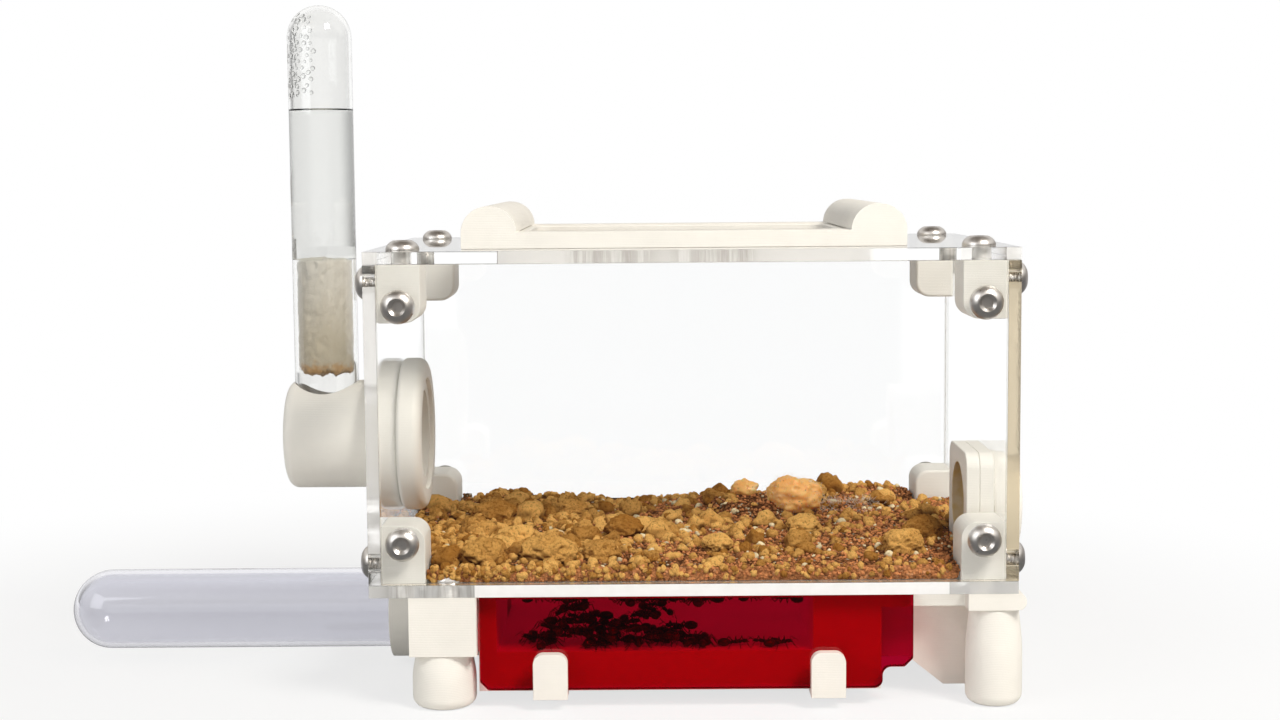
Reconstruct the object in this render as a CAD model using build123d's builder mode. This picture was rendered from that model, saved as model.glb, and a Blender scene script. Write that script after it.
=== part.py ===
from build123d import *
import os

# Ant habitat: a clear foraging box on a printed nest, with a water feeder and a side tube.
# Millimetres. +X runs along the box to the right, +Y to the back and +Z up. The feet stand on Z = 0.

# ---- Foraging box ----
box_length = 150.0
box_depth = 100.0
box_height = 80.0
sheet = 3.0

# ---- Gaps ----
slip_gap = 0.1
seat_gap = 0.3
thread_gap = 0.05

# ---- Screws: M4 button heads, and flush heads under the floor ----
shank_radius = 2.0
head_radius = 3.8
head_tall = 2.2
head_crown = 4.0
hex_flats = 2.5
hex_deep = 1.4
screw_long = 10.0
nest_screw_long = 12.0
screw_clearance = 0.2
screw_web = 0.6

# ---- Corner brackets ----
bracket_width = 10.0
bracket_depth = 13.5
bracket_tall = 13.5
bracket_round = 3.8
bracket_edge = 0.8
plate_screw_edge = 5.3

# ---- Lid ----
opening_length = 88.0
opening_depth = 60.0
opening_round = 6.0
lid_shift = -1.5
lid_overlap = 8.0
lid_thick = 3.8
rim_wall = 3.0
rim_deep = 2.8
rim_gap = 0.5
vent_end_margin = 7.0
vent_side_margin = 6.0
vent_round = 4.0
vent_ledge = 3.0
ledge_thick = 1.6
mesh_thick = 0.5
mesh_hole = 1.9
mesh_pitch = 5.0
clamp_thick = 1.5
clamp_wall = 2.6
ridge_width = 13.0
ridge_tall = 9.9
ridge_flat = 0.6
ridge_groove = 0.5
ridge_groove_deep = 0.5
ridge_groove_back = 12.7

# ---- Water feeder on the left panel ----
feeder_height = 32.0
elbow_radius = 13.6
elbow_end_wall = 1.4
elbow_round = 2.5
elbow_bore = 6.5
flange_lip = 4.5
flange_thick = 4.5
spigot_radius = 14.0
spigot_wall = 3.0
spigot_bore_deep = 15.0
panel_hole_gap = 0.2
nut_wall = 5.1
nut_thick = 6.0
nut_overhang = 1.0
nut_round = 2.2
nut_inner_round = 1.2
water_tube_radius = 8.0
water_tube_wall = 1.0
water_tube_long = 100.0
water_tube_from_flange = 4.0
water_tube_shelf = 1.0
water_tube_lip = 0.6
cotton_bottom = 8.6
cotton_tall = 28.2
water_tall = 37.0

# ---- Side tube and its socket, which set how high the box stands ----
side_tube_radius = 10.0
side_tube_wall = 1.2
side_tube_long = 100.0
socket_wall = 2.4
socket_deep = 18.0
socket_proud = 0.5
socket_above_table = 1.7
passage_radius = 7.5

# ---- Nest under the box ----
nest_end_inset = 9.0
nest_front_inset = 0.6
nest_back_inset = 2.0
nest_right_overhang = 2.0
flange_thick_nest = 4.0
flange_round = 1.9
end_block_long = 15.7
end_block_tall = 14.0
block_back_inset = 4.0
block_bottom = 3.4
cheek_long = 22.0
cheek_set_back = 14.0
cheek_high = 9.4
cheek_flat = 7.0
cheek_foot_long = 6.3
cheek_low = 2.4
chamber_left_wall = 4.3
chamber_right_wall = 16.0
chamber_back_wall = 10.0
chamber_ceiling = 1.5
chamber_tall = 12.5
chamber_round = 5.0

# ---- Red window ----
window_thick = 3.0
window_set_back = 3.0
window_end_gap = 0.4
window_lobe = 7.2
window_bottom = 4.3
window_lobe_bottom = 9.3
window_corner = 2.0
left_peg_in = 17.0
right_peg_in = 12.8
peg_width = 8.0
peg_bottom = 2.8
peg_top = 13.5
peg_round = 2.4

# ---- Feet ----
left_foot_radius = 7.5
right_foot_radius = 6.6
foot_neck = 0.9
foot_round = 2.6
pin_radius = 2.5
pin_long = 3.0

# ---- Nest screws and the way up into the box ----
end_screw_in = 9.1
cheek_screw_in = 8.0
cheek_screw_edge = 4.0
entry_from_right = 9.0
entry_from_back = 10.0
entry_radius = 6.0
entry_wall = 1.4
entry_lip = 2.0
entry_lip_thick = 1.0
entry_rise = 5.0

# ---- Right port ----
port_plate_wide = 27.0
port_plate_thick = 3.3
port_round = 4.0
port_wall = 2.25
port_ledge = 0.6
port_proud = 2.0
port_from_bracket = 1.5
plug_lip = 1.9
plug_head_thick = 2.4
plug_round = 0.8
plug_wall = 1.6

# ---- Substrate on the box floor ----
soil_front = 3.4
soil_back = 6.2

# ---- Box levels and faces ----
socket_outer = side_tube_radius + slip_gap + socket_wall
nest_height = socket_above_table + 2 * socket_outer + seat_gap
half_length = box_length / 2
half_depth = box_depth / 2
side_inner = half_length - sheet
face_inner = half_depth - sheet
floor_top = nest_height + sheet
roof_top = nest_height + box_height
roof_under = roof_top - sheet
wall_tall = roof_under - floor_top
wall_middle = (roof_under + floor_top) / 2

# ---- Reach of the whole habitat, which is centred on X = 0 ----
socket_reach = half_length + socket_proud
left_reach = socket_reach - socket_deep + side_tube_long
right_reach = half_length + port_proud + plug_head_thick
box_x = (left_reach - right_reach) / 2

# ---- Feeder ----
feeder_z = nest_height + feeder_height
panel_hole = spigot_radius + panel_hole_gap
water_tube_offset = flange_thick + water_tube_from_flange + water_tube_radius
water_tube_x = -half_length - water_tube_offset
water_tube_foot = feeder_z + elbow_bore + water_tube_shelf
elbow_end = water_tube_x - water_tube_radius - slip_gap - elbow_end_wall
mouth_radius = water_tube_radius - water_tube_wall - water_tube_lip
spigot_end = -side_inner + nut_thick - nut_overhang

# ---- Nest ----
nest_left = half_length - nest_end_inset
nest_right = half_length + nest_right_overhang
nest_front = -half_depth + nest_front_inset
nest_back = half_depth - nest_back_inset
flange_under = nest_height - flange_thick_nest
end_block_under = nest_height - end_block_tall
block_left = nest_left - end_block_long
block_back = half_depth - block_back_inset
cheek_right = half_length - nest_end_inset
block_right = cheek_right - cheek_long
cheek_front = -half_depth + cheek_set_back
chamber_left = block_left - chamber_left_wall
chamber_right = block_right - chamber_right_wall
chamber_back = block_back - chamber_back_wall
chamber_floor = nest_height - chamber_ceiling - chamber_tall
body_front = -half_depth + window_set_back + window_thick + seat_gap
side_tube_z = nest_height - seat_gap - socket_outer
side_tube_mouth = -socket_reach + socket_deep
entry_x = chamber_right - entry_from_right
entry_y = chamber_back - entry_from_back

# ---- Feet and window ----
left_foot_x = -nest_left + left_foot_radius
right_foot_x = nest_right - right_foot_radius
left_foot_y = half_depth - left_foot_radius
right_foot_y = half_depth - right_foot_radius
window_slot_end = right_foot_x - right_foot_radius - seat_gap
window_left = block_left - window_end_gap
window_right = block_right + window_lobe

# ---- Port ----
port_bore = side_tube_radius + slip_gap
port_collar_radius = port_bore + port_wall
port_y = -face_inner + bracket_depth + port_from_bracket + port_plate_wide / 2
port_z = floor_top + seat_gap + port_plate_wide / 2
port_face = side_inner - port_plate_thick


# ---- Places and planes, all counted from the middle of the box ----
def at(x, y, z):
    return (box_x + x, y, z)


def level(z):
    return Plane(origin=at(0, 0, z))


def facing_front(y):
    return Plane(origin=at(0, y, 0), x_dir=(1, 0, 0), z_dir=(0, -1, 0))


def facing_right(x):
    return Plane(origin=at(x, 0, 0), x_dir=(0, 1, 0), z_dir=(1, 0, 0))


def toward(x, y, z, direction):
    return Plane(origin=at(x, y, z), z_dir=direction)


def save(piece, name):
    piece.part.label = name
    export_step(piece.part, "parts/" + name + ".step")


os.makedirs("parts", exist_ok=True)

# ---- Screw places: a plane looks out of each head, and the three screws in a bracket miss each other ----
right_and_left = (-1, 1)
bracket_screw_x = side_inner - bracket_width / 2
face_screw_up = screw_long + shank_radius + screw_web
side_screw_up = face_screw_up - 2 * shank_radius - 2 * screw_web
plate_screw_y = face_inner - bracket_depth + plate_screw_edge
side_screw_y = plate_screw_y + 2 * shank_radius + screw_web
face_screw_z = (nest_height + face_screw_up, roof_top - face_screw_up)
side_screw_z = (nest_height + side_screw_up, roof_top - side_screw_up)
end_screw_x = -nest_left + end_screw_in
cheek_screw_x = cheek_right - cheek_screw_in
cheek_screw_y = -cheek_front - cheek_screw_edge


def face_screws(side):
    y = side * half_depth
    return [
        toward(sx * bracket_screw_x, y, z, (0, side, 0)) for sx in right_and_left for z in face_screw_z
    ]


def side_screws(side):
    x = side * half_length
    return [
        toward(x, sy * side_screw_y, z, (side, 0, 0)) for sy in right_and_left for z in side_screw_z
    ]


def plate_screws(z, direction):
    return [
        toward(sx * bracket_screw_x, sy * plate_screw_y, z, (0, 0, direction))
        for sx in right_and_left
        for sy in right_and_left
    ]


def nest_screws():
    end_block = [toward(end_screw_x, sy * left_foot_y, floor_top, (0, 0, 1)) for sy in right_and_left]
    cheek = [toward(cheek_screw_x, sy * cheek_screw_y, floor_top, (0, 0, 1)) for sy in right_and_left]
    return end_block + cheek


# ---- One screw of each kind, at the origin with its head up ----
def button_screw(length):
    with BuildPart() as screw:
        with BuildSketch(Plane.XZ):
            with BuildLine():
                Polyline((0, -length), (shank_radius, -length), (shank_radius, 0), (head_radius, 0))
                RadiusArc((head_radius, 0), (shank_radius, head_tall), -head_crown)
                Polyline((shank_radius, head_tall), (0, head_tall), (0, -length))
            make_face()
        revolve(axis=Axis.Z)
        with BuildSketch(Plane.XY.offset(head_tall)):
            RegularPolygon(radius=hex_flats / 2, side_count=6, major_radius=False)
        extrude(amount=-hex_deep, mode=Mode.SUBTRACT)
    return screw.part


def flush_screw(length):
    cone_tall = head_radius - shank_radius
    with BuildPart() as screw:
        with BuildSketch(Plane.XZ):
            with BuildLine():
                Polyline(
                    (0, -length),
                    (shank_radius, -length),
                    (shank_radius, -cone_tall),
                    (head_radius, 0),
                    (0, 0),
                    (0, -length),
                )
            make_face()
        revolve(axis=Axis.Z)
        with BuildSketch(Plane.XY):
            RegularPolygon(radius=hex_flats / 2, side_count=6, major_radius=False)
        extrude(amount=-hex_deep, mode=Mode.SUBTRACT)
    return screw.part


def screw_group(name, screw, places):
    with BuildPart() as group:
        with Locations(*places):
            add(screw)
    save(group, name)


panel_screw = button_screw(screw_long)
screw_group("front_screws", panel_screw, face_screws(-1))
screw_group("back_screws", panel_screw, face_screws(1))
screw_group("left_screws", panel_screw, side_screws(-1))
screw_group("right_screws", panel_screw, side_screws(1))
screw_group("roof_screws", panel_screw, plate_screws(roof_top, 1))
screw_group("floor_screws", flush_screw(screw_long), plate_screws(nest_height, -1))
screw_group("nest_screws", button_screw(nest_screw_long), nest_screws())

# ---- Clear panels ----
panel_screw_hole = shank_radius + screw_clearance

with BuildPart() as floor_panel:
    with Locations(at(0, 0, nest_height + sheet / 2)):
        Box(box_length, box_depth, sheet)
    with Locations(*plate_screws(nest_height, -1)):
        CounterSinkHole(panel_screw_hole, head_radius + thread_gap, depth=sheet, counter_sink_angle=90)
    with Locations(*nest_screws()):
        Hole(panel_screw_hole, depth=sheet)
    with Locations(at(entry_x, entry_y, floor_top)):
        Hole(entry_radius + slip_gap, depth=sheet)
save(floor_panel, "floor_panel")

with BuildPart() as roof_panel:
    with Locations(at(0, 0, roof_top - sheet / 2)):
        Box(box_length, box_depth, sheet)
    with BuildSketch(level(roof_top)):
        with Locations((lid_shift, 0)):
            RectangleRounded(opening_length, opening_depth, opening_round)
    extrude(amount=-sheet, mode=Mode.SUBTRACT)
    with Locations(*plate_screws(roof_top, 1)):
        Hole(panel_screw_hole, depth=sheet)
save(roof_panel, "roof_panel")


def face_panel(name, side):
    with BuildPart() as panel:
        with Locations(at(0, side * (half_depth - sheet / 2), wall_middle)):
            Box(box_length - 2 * sheet, sheet, wall_tall)
        with Locations(*face_screws(side)):
            Hole(panel_screw_hole, depth=sheet)
    save(panel, name)


face_panel("front_panel", -1)
face_panel("back_panel", 1)


def side_panel(name, side, hole_place, hole_radius):
    with BuildPart() as panel:
        with Locations(at(side * (half_length - sheet / 2), 0, wall_middle)):
            Box(sheet, box_depth, wall_tall)
        with Locations(*side_screws(side)):
            Hole(panel_screw_hole, depth=sheet)
        with Locations(hole_place):
            Hole(hole_radius, depth=sheet)
    save(panel, name)


side_panel("left_panel", -1, toward(-half_length, 0, feeder_z, (-1, 0, 0)), panel_hole)
port_place = toward(half_length, port_y, port_z, (1, 0, 0))
side_panel("right_panel", 1, port_place, port_collar_radius + panel_hole_gap)


# ---- Corner brackets: each takes one screw from every panel it joins ----
tapped_radius = shank_radius + thread_gap
tapped_deep = screw_long - sheet + seat_gap


def corner_bracket(name, side, face, top):
    middle_x = side * (side_inner - bracket_width / 2)
    middle_y = face * (face_inner - bracket_depth / 2)
    plate_z = roof_under if top > 0 else floor_top
    middle_z = plate_z - top * bracket_tall / 2
    outside_z = roof_top if top > 0 else nest_height
    face_z = outside_z - top * face_screw_up
    side_z = outside_z - top * side_screw_up
    with BuildPart() as bracket:
        with Locations(at(middle_x, middle_y, middle_z)):
            Box(bracket_width, bracket_depth, bracket_tall)
        long_edges = bracket.edges().filter_by(Axis.Y)
        free_edges = long_edges.sort_by(Axis.X)[-2:] if side < 0 else long_edges.sort_by(Axis.X)[:2]
        free_edge = free_edges.sort_by(Axis.Z)[0] if top > 0 else free_edges.sort_by(Axis.Z)[-1]
        fillet(free_edge, radius=bracket_round)
        inner_face = bracket.faces().sort_by(Axis.Y)[0 if face > 0 else -1]
        fillet(inner_face.edges(), radius=bracket_edge)
        with Locations(toward(side * bracket_screw_x, face * face_inner, face_z, (0, face, 0))):
            Hole(tapped_radius, depth=tapped_deep)
        with Locations(toward(side * side_inner, face * side_screw_y, side_z, (side, 0, 0))):
            Hole(tapped_radius, depth=tapped_deep)
        with Locations(toward(side * bracket_screw_x, face * plate_screw_y, plate_z, (0, 0, top))):
            Hole(tapped_radius, depth=tapped_deep)
    save(bracket, name)


for top, level_name in ((-1, "bottom"), (1, "top")):
    for face, face_name in ((-1, "front"), (1, "back")):
        for side, side_name in ((-1, "left"), (1, "right")):
            corner_bracket("_".join(("bracket", level_name, face_name, side_name)), side, face, top)

# ---- Lid: a plate with a vent, a locating rim and a grip ridge along each end ----
lid_length = opening_length + 2 * lid_overlap
lid_depth = opening_depth + 2 * lid_overlap
rim_length = opening_length - 2 * rim_gap
rim_depth = opening_depth - 2 * rim_gap
vent_length = opening_length - 2 * vent_end_margin
vent_depth = opening_depth - 2 * vent_side_margin
ledge_length = vent_length + 2 * vent_ledge
ledge_depth = vent_depth + 2 * vent_ledge
ridge_x = lid_length / 2 - ridge_width / 2
ridge_round = (ridge_width - ridge_flat) / 2

with BuildPart() as lid_frame:
    with BuildSketch(level(roof_top)):
        with Locations((lid_shift, 0)):
            Rectangle(lid_length, lid_depth)
    extrude(amount=lid_thick)
    with BuildSketch(level(roof_top)):
        with Locations((lid_shift, 0)):
            RectangleRounded(rim_length, rim_depth, opening_round)
            RectangleRounded(
                rim_length - 2 * rim_wall,
                rim_depth - 2 * rim_wall,
                vent_round,
                mode=Mode.SUBTRACT,
            )
    extrude(amount=-rim_deep)
    with BuildSketch(facing_front(-lid_depth / 2)):
        with Locations((lid_shift - ridge_x, roof_top), (lid_shift + ridge_x, roof_top)):
            Rectangle(ridge_width, ridge_tall, align=(Align.CENTER, Align.MIN))
        fillet(vertices().group_by(Axis.Y)[-1], radius=ridge_round)
    extrude(amount=-lid_depth)
    with BuildSketch(level(roof_top)):
        with Locations((lid_shift, 0)):
            RectangleRounded(vent_length, vent_depth, vent_round)
    extrude(amount=lid_thick, mode=Mode.SUBTRACT)
    with BuildSketch(level(roof_top + lid_thick)):
        with Locations((lid_shift, 0)):
            RectangleRounded(ledge_length, ledge_depth, vent_round)
    extrude(amount=ledge_thick - lid_thick, mode=Mode.SUBTRACT)
    with BuildSketch(facing_right(lid_shift - lid_length / 2)):
        with Locations((ridge_groove_back, roof_top + ridge_tall)):
            Rectangle(ridge_groove, 2 * ridge_groove_deep)
    extrude(amount=lid_length, mode=Mode.SUBTRACT)
save(lid_frame, "lid_frame")

mesh_floor = roof_top + ledge_thick
mesh_columns = int(vent_length // mesh_pitch)
mesh_rows = int(vent_depth // mesh_pitch)
with BuildPart() as vent_mesh:
    with BuildSketch(level(mesh_floor)):
        with Locations((lid_shift, 0)):
            RectangleRounded(ledge_length - 2 * slip_gap, ledge_depth - 2 * slip_gap, vent_round)
            with GridLocations(mesh_pitch, mesh_pitch, mesh_columns, mesh_rows):
                Circle(mesh_hole, mode=Mode.SUBTRACT)
    extrude(amount=mesh_thick)
save(vent_mesh, "vent_mesh")

with BuildPart() as mesh_clamp:
    with BuildSketch(level(mesh_floor + mesh_thick)):
        with Locations((lid_shift, 0)):
            RectangleRounded(ledge_length - 2 * slip_gap, ledge_depth - 2 * slip_gap, vent_round)
            RectangleRounded(
                ledge_length - 2 * clamp_wall,
                ledge_depth - 2 * clamp_wall,
                vent_round,
                mode=Mode.SUBTRACT,
            )
    extrude(amount=clamp_thick)
save(mesh_clamp, "mesh_clamp")

# ---- Feeder elbow: flange outside the panel, spigot through it, closed end with a tube socket ----
with BuildPart() as feeder_elbow:
    with BuildSketch(facing_right(elbow_end)):
        with Locations((0, feeder_z)):
            Circle(elbow_radius)
    extrude(amount=-half_length - elbow_end)
    fillet(feeder_elbow.edges().filter_by(GeomType.CIRCLE).sort_by(Axis.X)[0], radius=elbow_round)
    with BuildSketch(facing_right(-half_length)):
        with Locations((0, feeder_z)):
            Circle(spigot_radius + flange_lip)
    extrude(amount=-flange_thick)
    with BuildSketch(facing_right(-half_length)):
        with Locations((0, feeder_z)):
            Circle(spigot_radius)
    extrude(amount=spigot_end + half_length)
    with Locations(toward(spigot_end, 0, feeder_z, (1, 0, 0))):
        Hole(spigot_radius - spigot_wall, depth=spigot_bore_deep)
        Hole(elbow_bore, depth=spigot_end - water_tube_x + mouth_radius)
    with BuildSketch(level(water_tube_foot)):
        with Locations((water_tube_x, 0)):
            Circle(water_tube_radius + slip_gap)
    extrude(amount=elbow_radius, mode=Mode.SUBTRACT)
    with BuildSketch(level(feeder_z)):
        with Locations((water_tube_x, 0)):
            Circle(mouth_radius)
    extrude(amount=elbow_radius, mode=Mode.SUBTRACT)
save(feeder_elbow, "feeder_elbow")

with BuildPart() as feeder_nut:
    with BuildSketch(facing_right(-side_inner)):
        with Locations((0, feeder_z)):
            Circle(spigot_radius + slip_gap + nut_wall)
            Circle(spigot_radius + slip_gap, mode=Mode.SUBTRACT)
    extrude(amount=nut_thick)
    rims = feeder_nut.edges().filter_by(GeomType.CIRCLE).sort_by(SortBy.RADIUS)[-2:]
    fillet(rims.sort_by(Axis.X)[-1], radius=nut_round)
    fillet(rims.sort_by(Axis.X)[0], radius=nut_inner_round)
save(feeder_nut, "feeder_nut")


# ---- Test tubes: a straight wall with a round closed end ----
def tube_profile(radius, wall, length):
    with BuildSketch(Plane.XZ) as profile:
        with BuildLine():
            inner = radius - wall
            Polyline((inner, 0), (radius, 0), (radius, length - radius))
            RadiusArc((radius, length - radius), (0, length), -radius)
            Line((0, length), (0, length - wall))
            RadiusArc((0, length - wall), (inner, length - radius), inner)
            Line((inner, length - radius), (inner, 0))
        make_face()
    return profile.sketch


def test_tube(radius, wall, length):
    with BuildPart() as tube:
        add(tube_profile(radius, wall, length))
        revolve(axis=Axis.Z)
    return tube.part


with BuildPart() as water_tube:
    with Locations(at(water_tube_x, 0, water_tube_foot)):
        add(test_tube(water_tube_radius, water_tube_wall, water_tube_long))
save(water_tube, "water_tube")

fill_radius = water_tube_radius - water_tube_wall - thread_gap
with BuildPart() as cotton_plug:
    with Locations(at(water_tube_x, 0, water_tube_foot + cotton_bottom)):
        Cylinder(fill_radius, cotton_tall, align=(Align.CENTER, Align.CENTER, Align.MIN))
save(cotton_plug, "cotton_plug")

with BuildPart() as water:
    with Locations(at(water_tube_x, 0, water_tube_foot + cotton_bottom + cotton_tall)):
        Cylinder(fill_radius, water_tall, align=(Align.CENTER, Align.CENTER, Align.MIN))
save(water, "water")

with BuildPart() as side_tube:
    with Locations(toward(side_tube_mouth, 0, side_tube_z, (-1, 0, 0))):
        add(test_tube(side_tube_radius, side_tube_wall, side_tube_long))
save(side_tube, "side_tube")

# ---- Nest body: flange under the box, brood chamber behind the window, tube socket on the left ----
peg_front = -half_depth
peg_back = -half_depth + window_set_back - seat_gap
peg_root = 2.0

with BuildPart() as nest_body:
    # Flange, with its free right end rounded over.
    with BuildSketch(level(flange_under)):
        with Locations(((nest_right - nest_left) / 2, (nest_front + nest_back) / 2)):
            Rectangle(nest_left + nest_right, nest_back - nest_front)
    extrude(amount=flange_thick_nest)
    fillet(nest_body.edges().filter_by(Axis.Y).sort_by(Axis.X)[-2:], radius=flange_round)
    # Left end block, which the left feet stand under.
    with BuildSketch(level(end_block_under)):
        with Locations((-(nest_left + block_left) / 2, (nest_front + block_back) / 2)):
            Rectangle(nest_left - block_left, block_back - nest_front)
    extrude(amount=end_block_tall)
    # Main block behind the window.
    with BuildSketch(level(block_bottom)):
        with Locations(((block_right - block_left) / 2, (body_front + block_back) / 2)):
            Rectangle(block_left + block_right, block_back - body_front)
    extrude(amount=flange_under - block_bottom)
    # Cheek on the right, set back from the window, with a keel that slopes down to the right.
    with BuildSketch(facing_front(cheek_front)):
        with BuildLine():
            Polyline(
                (block_right, flange_under),
                (block_right, cheek_high),
                (block_right + cheek_flat, cheek_high),
                (cheek_right - cheek_foot_long, cheek_low),
                (cheek_right, cheek_low),
                (cheek_right, flange_under),
                close=True,
            )
        make_face()
    extrude(amount=2 * cheek_front)
    # Slot for the window, open in front as far as the window slides.
    with BuildSketch(level(block_bottom)):
        with Locations(((window_slot_end - block_left) / 2, (-half_depth + body_front) / 2)):
            Rectangle(window_slot_end + block_left, body_front + half_depth)
    extrude(amount=nest_height, mode=Mode.SUBTRACT)
    # Brood chamber, open to the window.
    with BuildSketch(level(chamber_floor)):
        with Locations(((chamber_right - chamber_left) / 2, (body_front + chamber_back) / 2)):
            Rectangle(chamber_left + chamber_right, chamber_back - body_front)
        fillet(vertices().group_by(Axis.Y)[-1], radius=chamber_round)
    extrude(amount=chamber_tall, mode=Mode.SUBTRACT)
    # Socket for the side tube.
    with BuildSketch(facing_right(-socket_reach)):
        with Locations((0, side_tube_z)):
            Circle(socket_outer)
    extrude(amount=socket_reach - block_left)
    with Locations(toward(-socket_reach, 0, side_tube_z, (-1, 0, 0))):
        Hole(side_tube_radius + slip_gap, depth=socket_deep)
        Hole(passage_radius, depth=socket_reach - chamber_left)
    # Pegs that hold the window's lower edge.
    for peg_x in (-block_left + left_peg_in, block_right - right_peg_in):
        with BuildSketch(facing_front(peg_front)):
            with Locations((peg_x, peg_bottom)):
                Rectangle(peg_width, window_bottom - slip_gap - peg_bottom, align=(Align.CENTER, Align.MIN))
        extrude(amount=peg_front - body_front - peg_root)
        with BuildSketch(facing_front(peg_front)):
            with Locations((peg_x, peg_bottom)):
                Rectangle(peg_width, peg_top - peg_bottom, align=(Align.CENTER, Align.MIN))
            fillet(vertices().group_by(Axis.Y)[-1], radius=peg_round)
        extrude(amount=peg_front - peg_back)
    # Blind holes for the foot pins, and screw holes.
    for sy in right_and_left:
        with Locations(toward(left_foot_x, sy * left_foot_y, end_block_under, (0, 0, -1))):
            Hole(pin_radius + thread_gap, depth=pin_long + seat_gap)
        with Locations(toward(right_foot_x, sy * right_foot_y, flange_under, (0, 0, -1))):
            Hole(pin_radius + thread_gap, depth=pin_long + seat_gap)
    with Locations(*nest_screws()):
        Hole(shank_radius + thread_gap, depth=nest_screw_long + seat_gap)
    # Way up into the box.
    with Locations(at(entry_x, entry_y, nest_height)):
        Hole(entry_radius + slip_gap, depth=chamber_ceiling)
save(nest_body, "nest_body")


# ---- Feet: rounded columns with a pin that presses into the nest ----
def foot(name, x, y, radius, top):
    with BuildPart() as column:
        with BuildSketch(Plane.XZ):
            with BuildLine():
                Polyline((0, 0), (radius - foot_round, 0))
                RadiusArc((radius - foot_round, 0), (radius, foot_round), -foot_round)
                Line((radius, foot_round), (radius, top / 2))
                Spline((radius, top / 2), (radius - foot_neck, top), tangents=((0, 1), (-foot_neck, top / 2)))
                Polyline((radius - foot_neck, top), (pin_radius, top), (pin_radius, top + pin_long))
                Polyline((pin_radius, top + pin_long), (0, top + pin_long), (0, 0))
            make_face()
        revolve(axis=Axis.Z)
    with BuildPart() as placed:
        with Locations(at(x, y, 0)):
            add(column.part)
    save(placed, name)


foot("foot_front_left", left_foot_x, -left_foot_y, left_foot_radius, end_block_under)
foot("foot_back_left", left_foot_x, left_foot_y, left_foot_radius, end_block_under)
foot("foot_front_right", right_foot_x, -right_foot_y, right_foot_radius, flange_under)
foot("foot_back_right", right_foot_x, right_foot_y, right_foot_radius, flange_under)

# ---- Red window, with its lower right corner cut away ----
window_front = -half_depth + window_set_back
window_top = nest_height - seat_gap
window_heel = block_right + slip_gap
with BuildPart() as red_window:
    with BuildSketch(facing_front(window_front)):
        with BuildLine():
            Polyline(
                (-window_left, window_top),
                (-window_left, window_bottom + window_corner),
                (-window_left + window_corner, window_bottom),
                (window_heel, window_bottom),
                (window_heel, window_lobe_bottom),
                (window_right - window_corner, window_lobe_bottom),
                (window_right, window_lobe_bottom + window_corner),
                (window_right, window_top),
                close=True,
            )
        make_face()
        heel = vertices().sort_by(Axis.X)[-5:-3]
        fillet(heel, radius=window_corner)
    extrude(amount=-window_thick)
save(red_window, "red_window")

# ---- Collar that lines the way from the nest up into the box ----
with BuildPart() as entry_collar:
    with BuildSketch(level(nest_height - chamber_ceiling)):
        with Locations((entry_x, entry_y)):
            Circle(entry_radius)
    extrude(amount=chamber_ceiling + sheet + entry_rise)
    with BuildSketch(level(floor_top)):
        with Locations((entry_x, entry_y)):
            Circle(entry_radius + entry_lip)
    extrude(amount=entry_lip_thick)
    with Locations(at(entry_x, entry_y, floor_top + entry_rise)):
        Hole(entry_radius - entry_wall, depth=chamber_ceiling + sheet + entry_rise)
save(entry_collar, "entry_collar")

# ---- Right port: two stacked plates inside the panel, a collar through it and a plug ----
with BuildPart() as port_collar:
    with BuildSketch(facing_right(port_face)):
        with Locations((port_y, port_z)):
            RectangleRounded(port_plate_wide, port_plate_wide, port_round)
    extrude(amount=port_plate_thick)
    with BuildSketch(facing_right(side_inner)):
        with Locations((port_y, port_z)):
            Circle(port_collar_radius)
    extrude(amount=sheet + port_proud)
    with Locations(toward(half_length + port_proud, port_y, port_z, (1, 0, 0))):
        Hole(port_bore, depth=port_plate_thick + sheet + port_proud)
save(port_collar, "port_collar")

with BuildPart() as port_plate:
    with BuildSketch(facing_right(port_face - port_plate_thick)):
        with Locations((port_y, port_z)):
            RectangleRounded(port_plate_wide, port_plate_wide, port_round)
            Circle(port_bore - port_ledge, mode=Mode.SUBTRACT)
    extrude(amount=port_plate_thick)
save(port_plate, "port_plate")

plug_radius = port_bore - slip_gap
plug_long = sheet + port_proud + port_plate_thick - seat_gap
with BuildPart() as port_plug:
    with BuildSketch(facing_right(half_length + port_proud)):
        with Locations((port_y, port_z)):
            Circle(port_bore + plug_lip)
    extrude(amount=plug_head_thick)
    with BuildSketch(facing_right(half_length + port_proud)):
        with Locations((port_y, port_z)):
            Circle(plug_radius)
    extrude(amount=-plug_long)
    with BuildSketch(facing_right(half_length + port_proud)):
        with Locations((port_y, port_z)):
            Circle(plug_radius - plug_wall)
    extrude(amount=-plug_long, mode=Mode.SUBTRACT)
    outer_rim = port_plug.edges().filter_by(GeomType.CIRCLE).sort_by(Axis.X)[-1]
    fillet(outer_rim, radius=plug_round)
save(port_plug, "port_plug")

# ---- Substrate: a bed that rises to the back, clear of everything that stands on the floor ----
bed_length = 2 * (side_inner - seat_gap)
bed_back = face_inner - seat_gap
bracket_clear_x = bracket_width + seat_gap
bracket_clear_y = bracket_depth + seat_gap
port_clear = 2 * port_plate_thick + seat_gap

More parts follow.
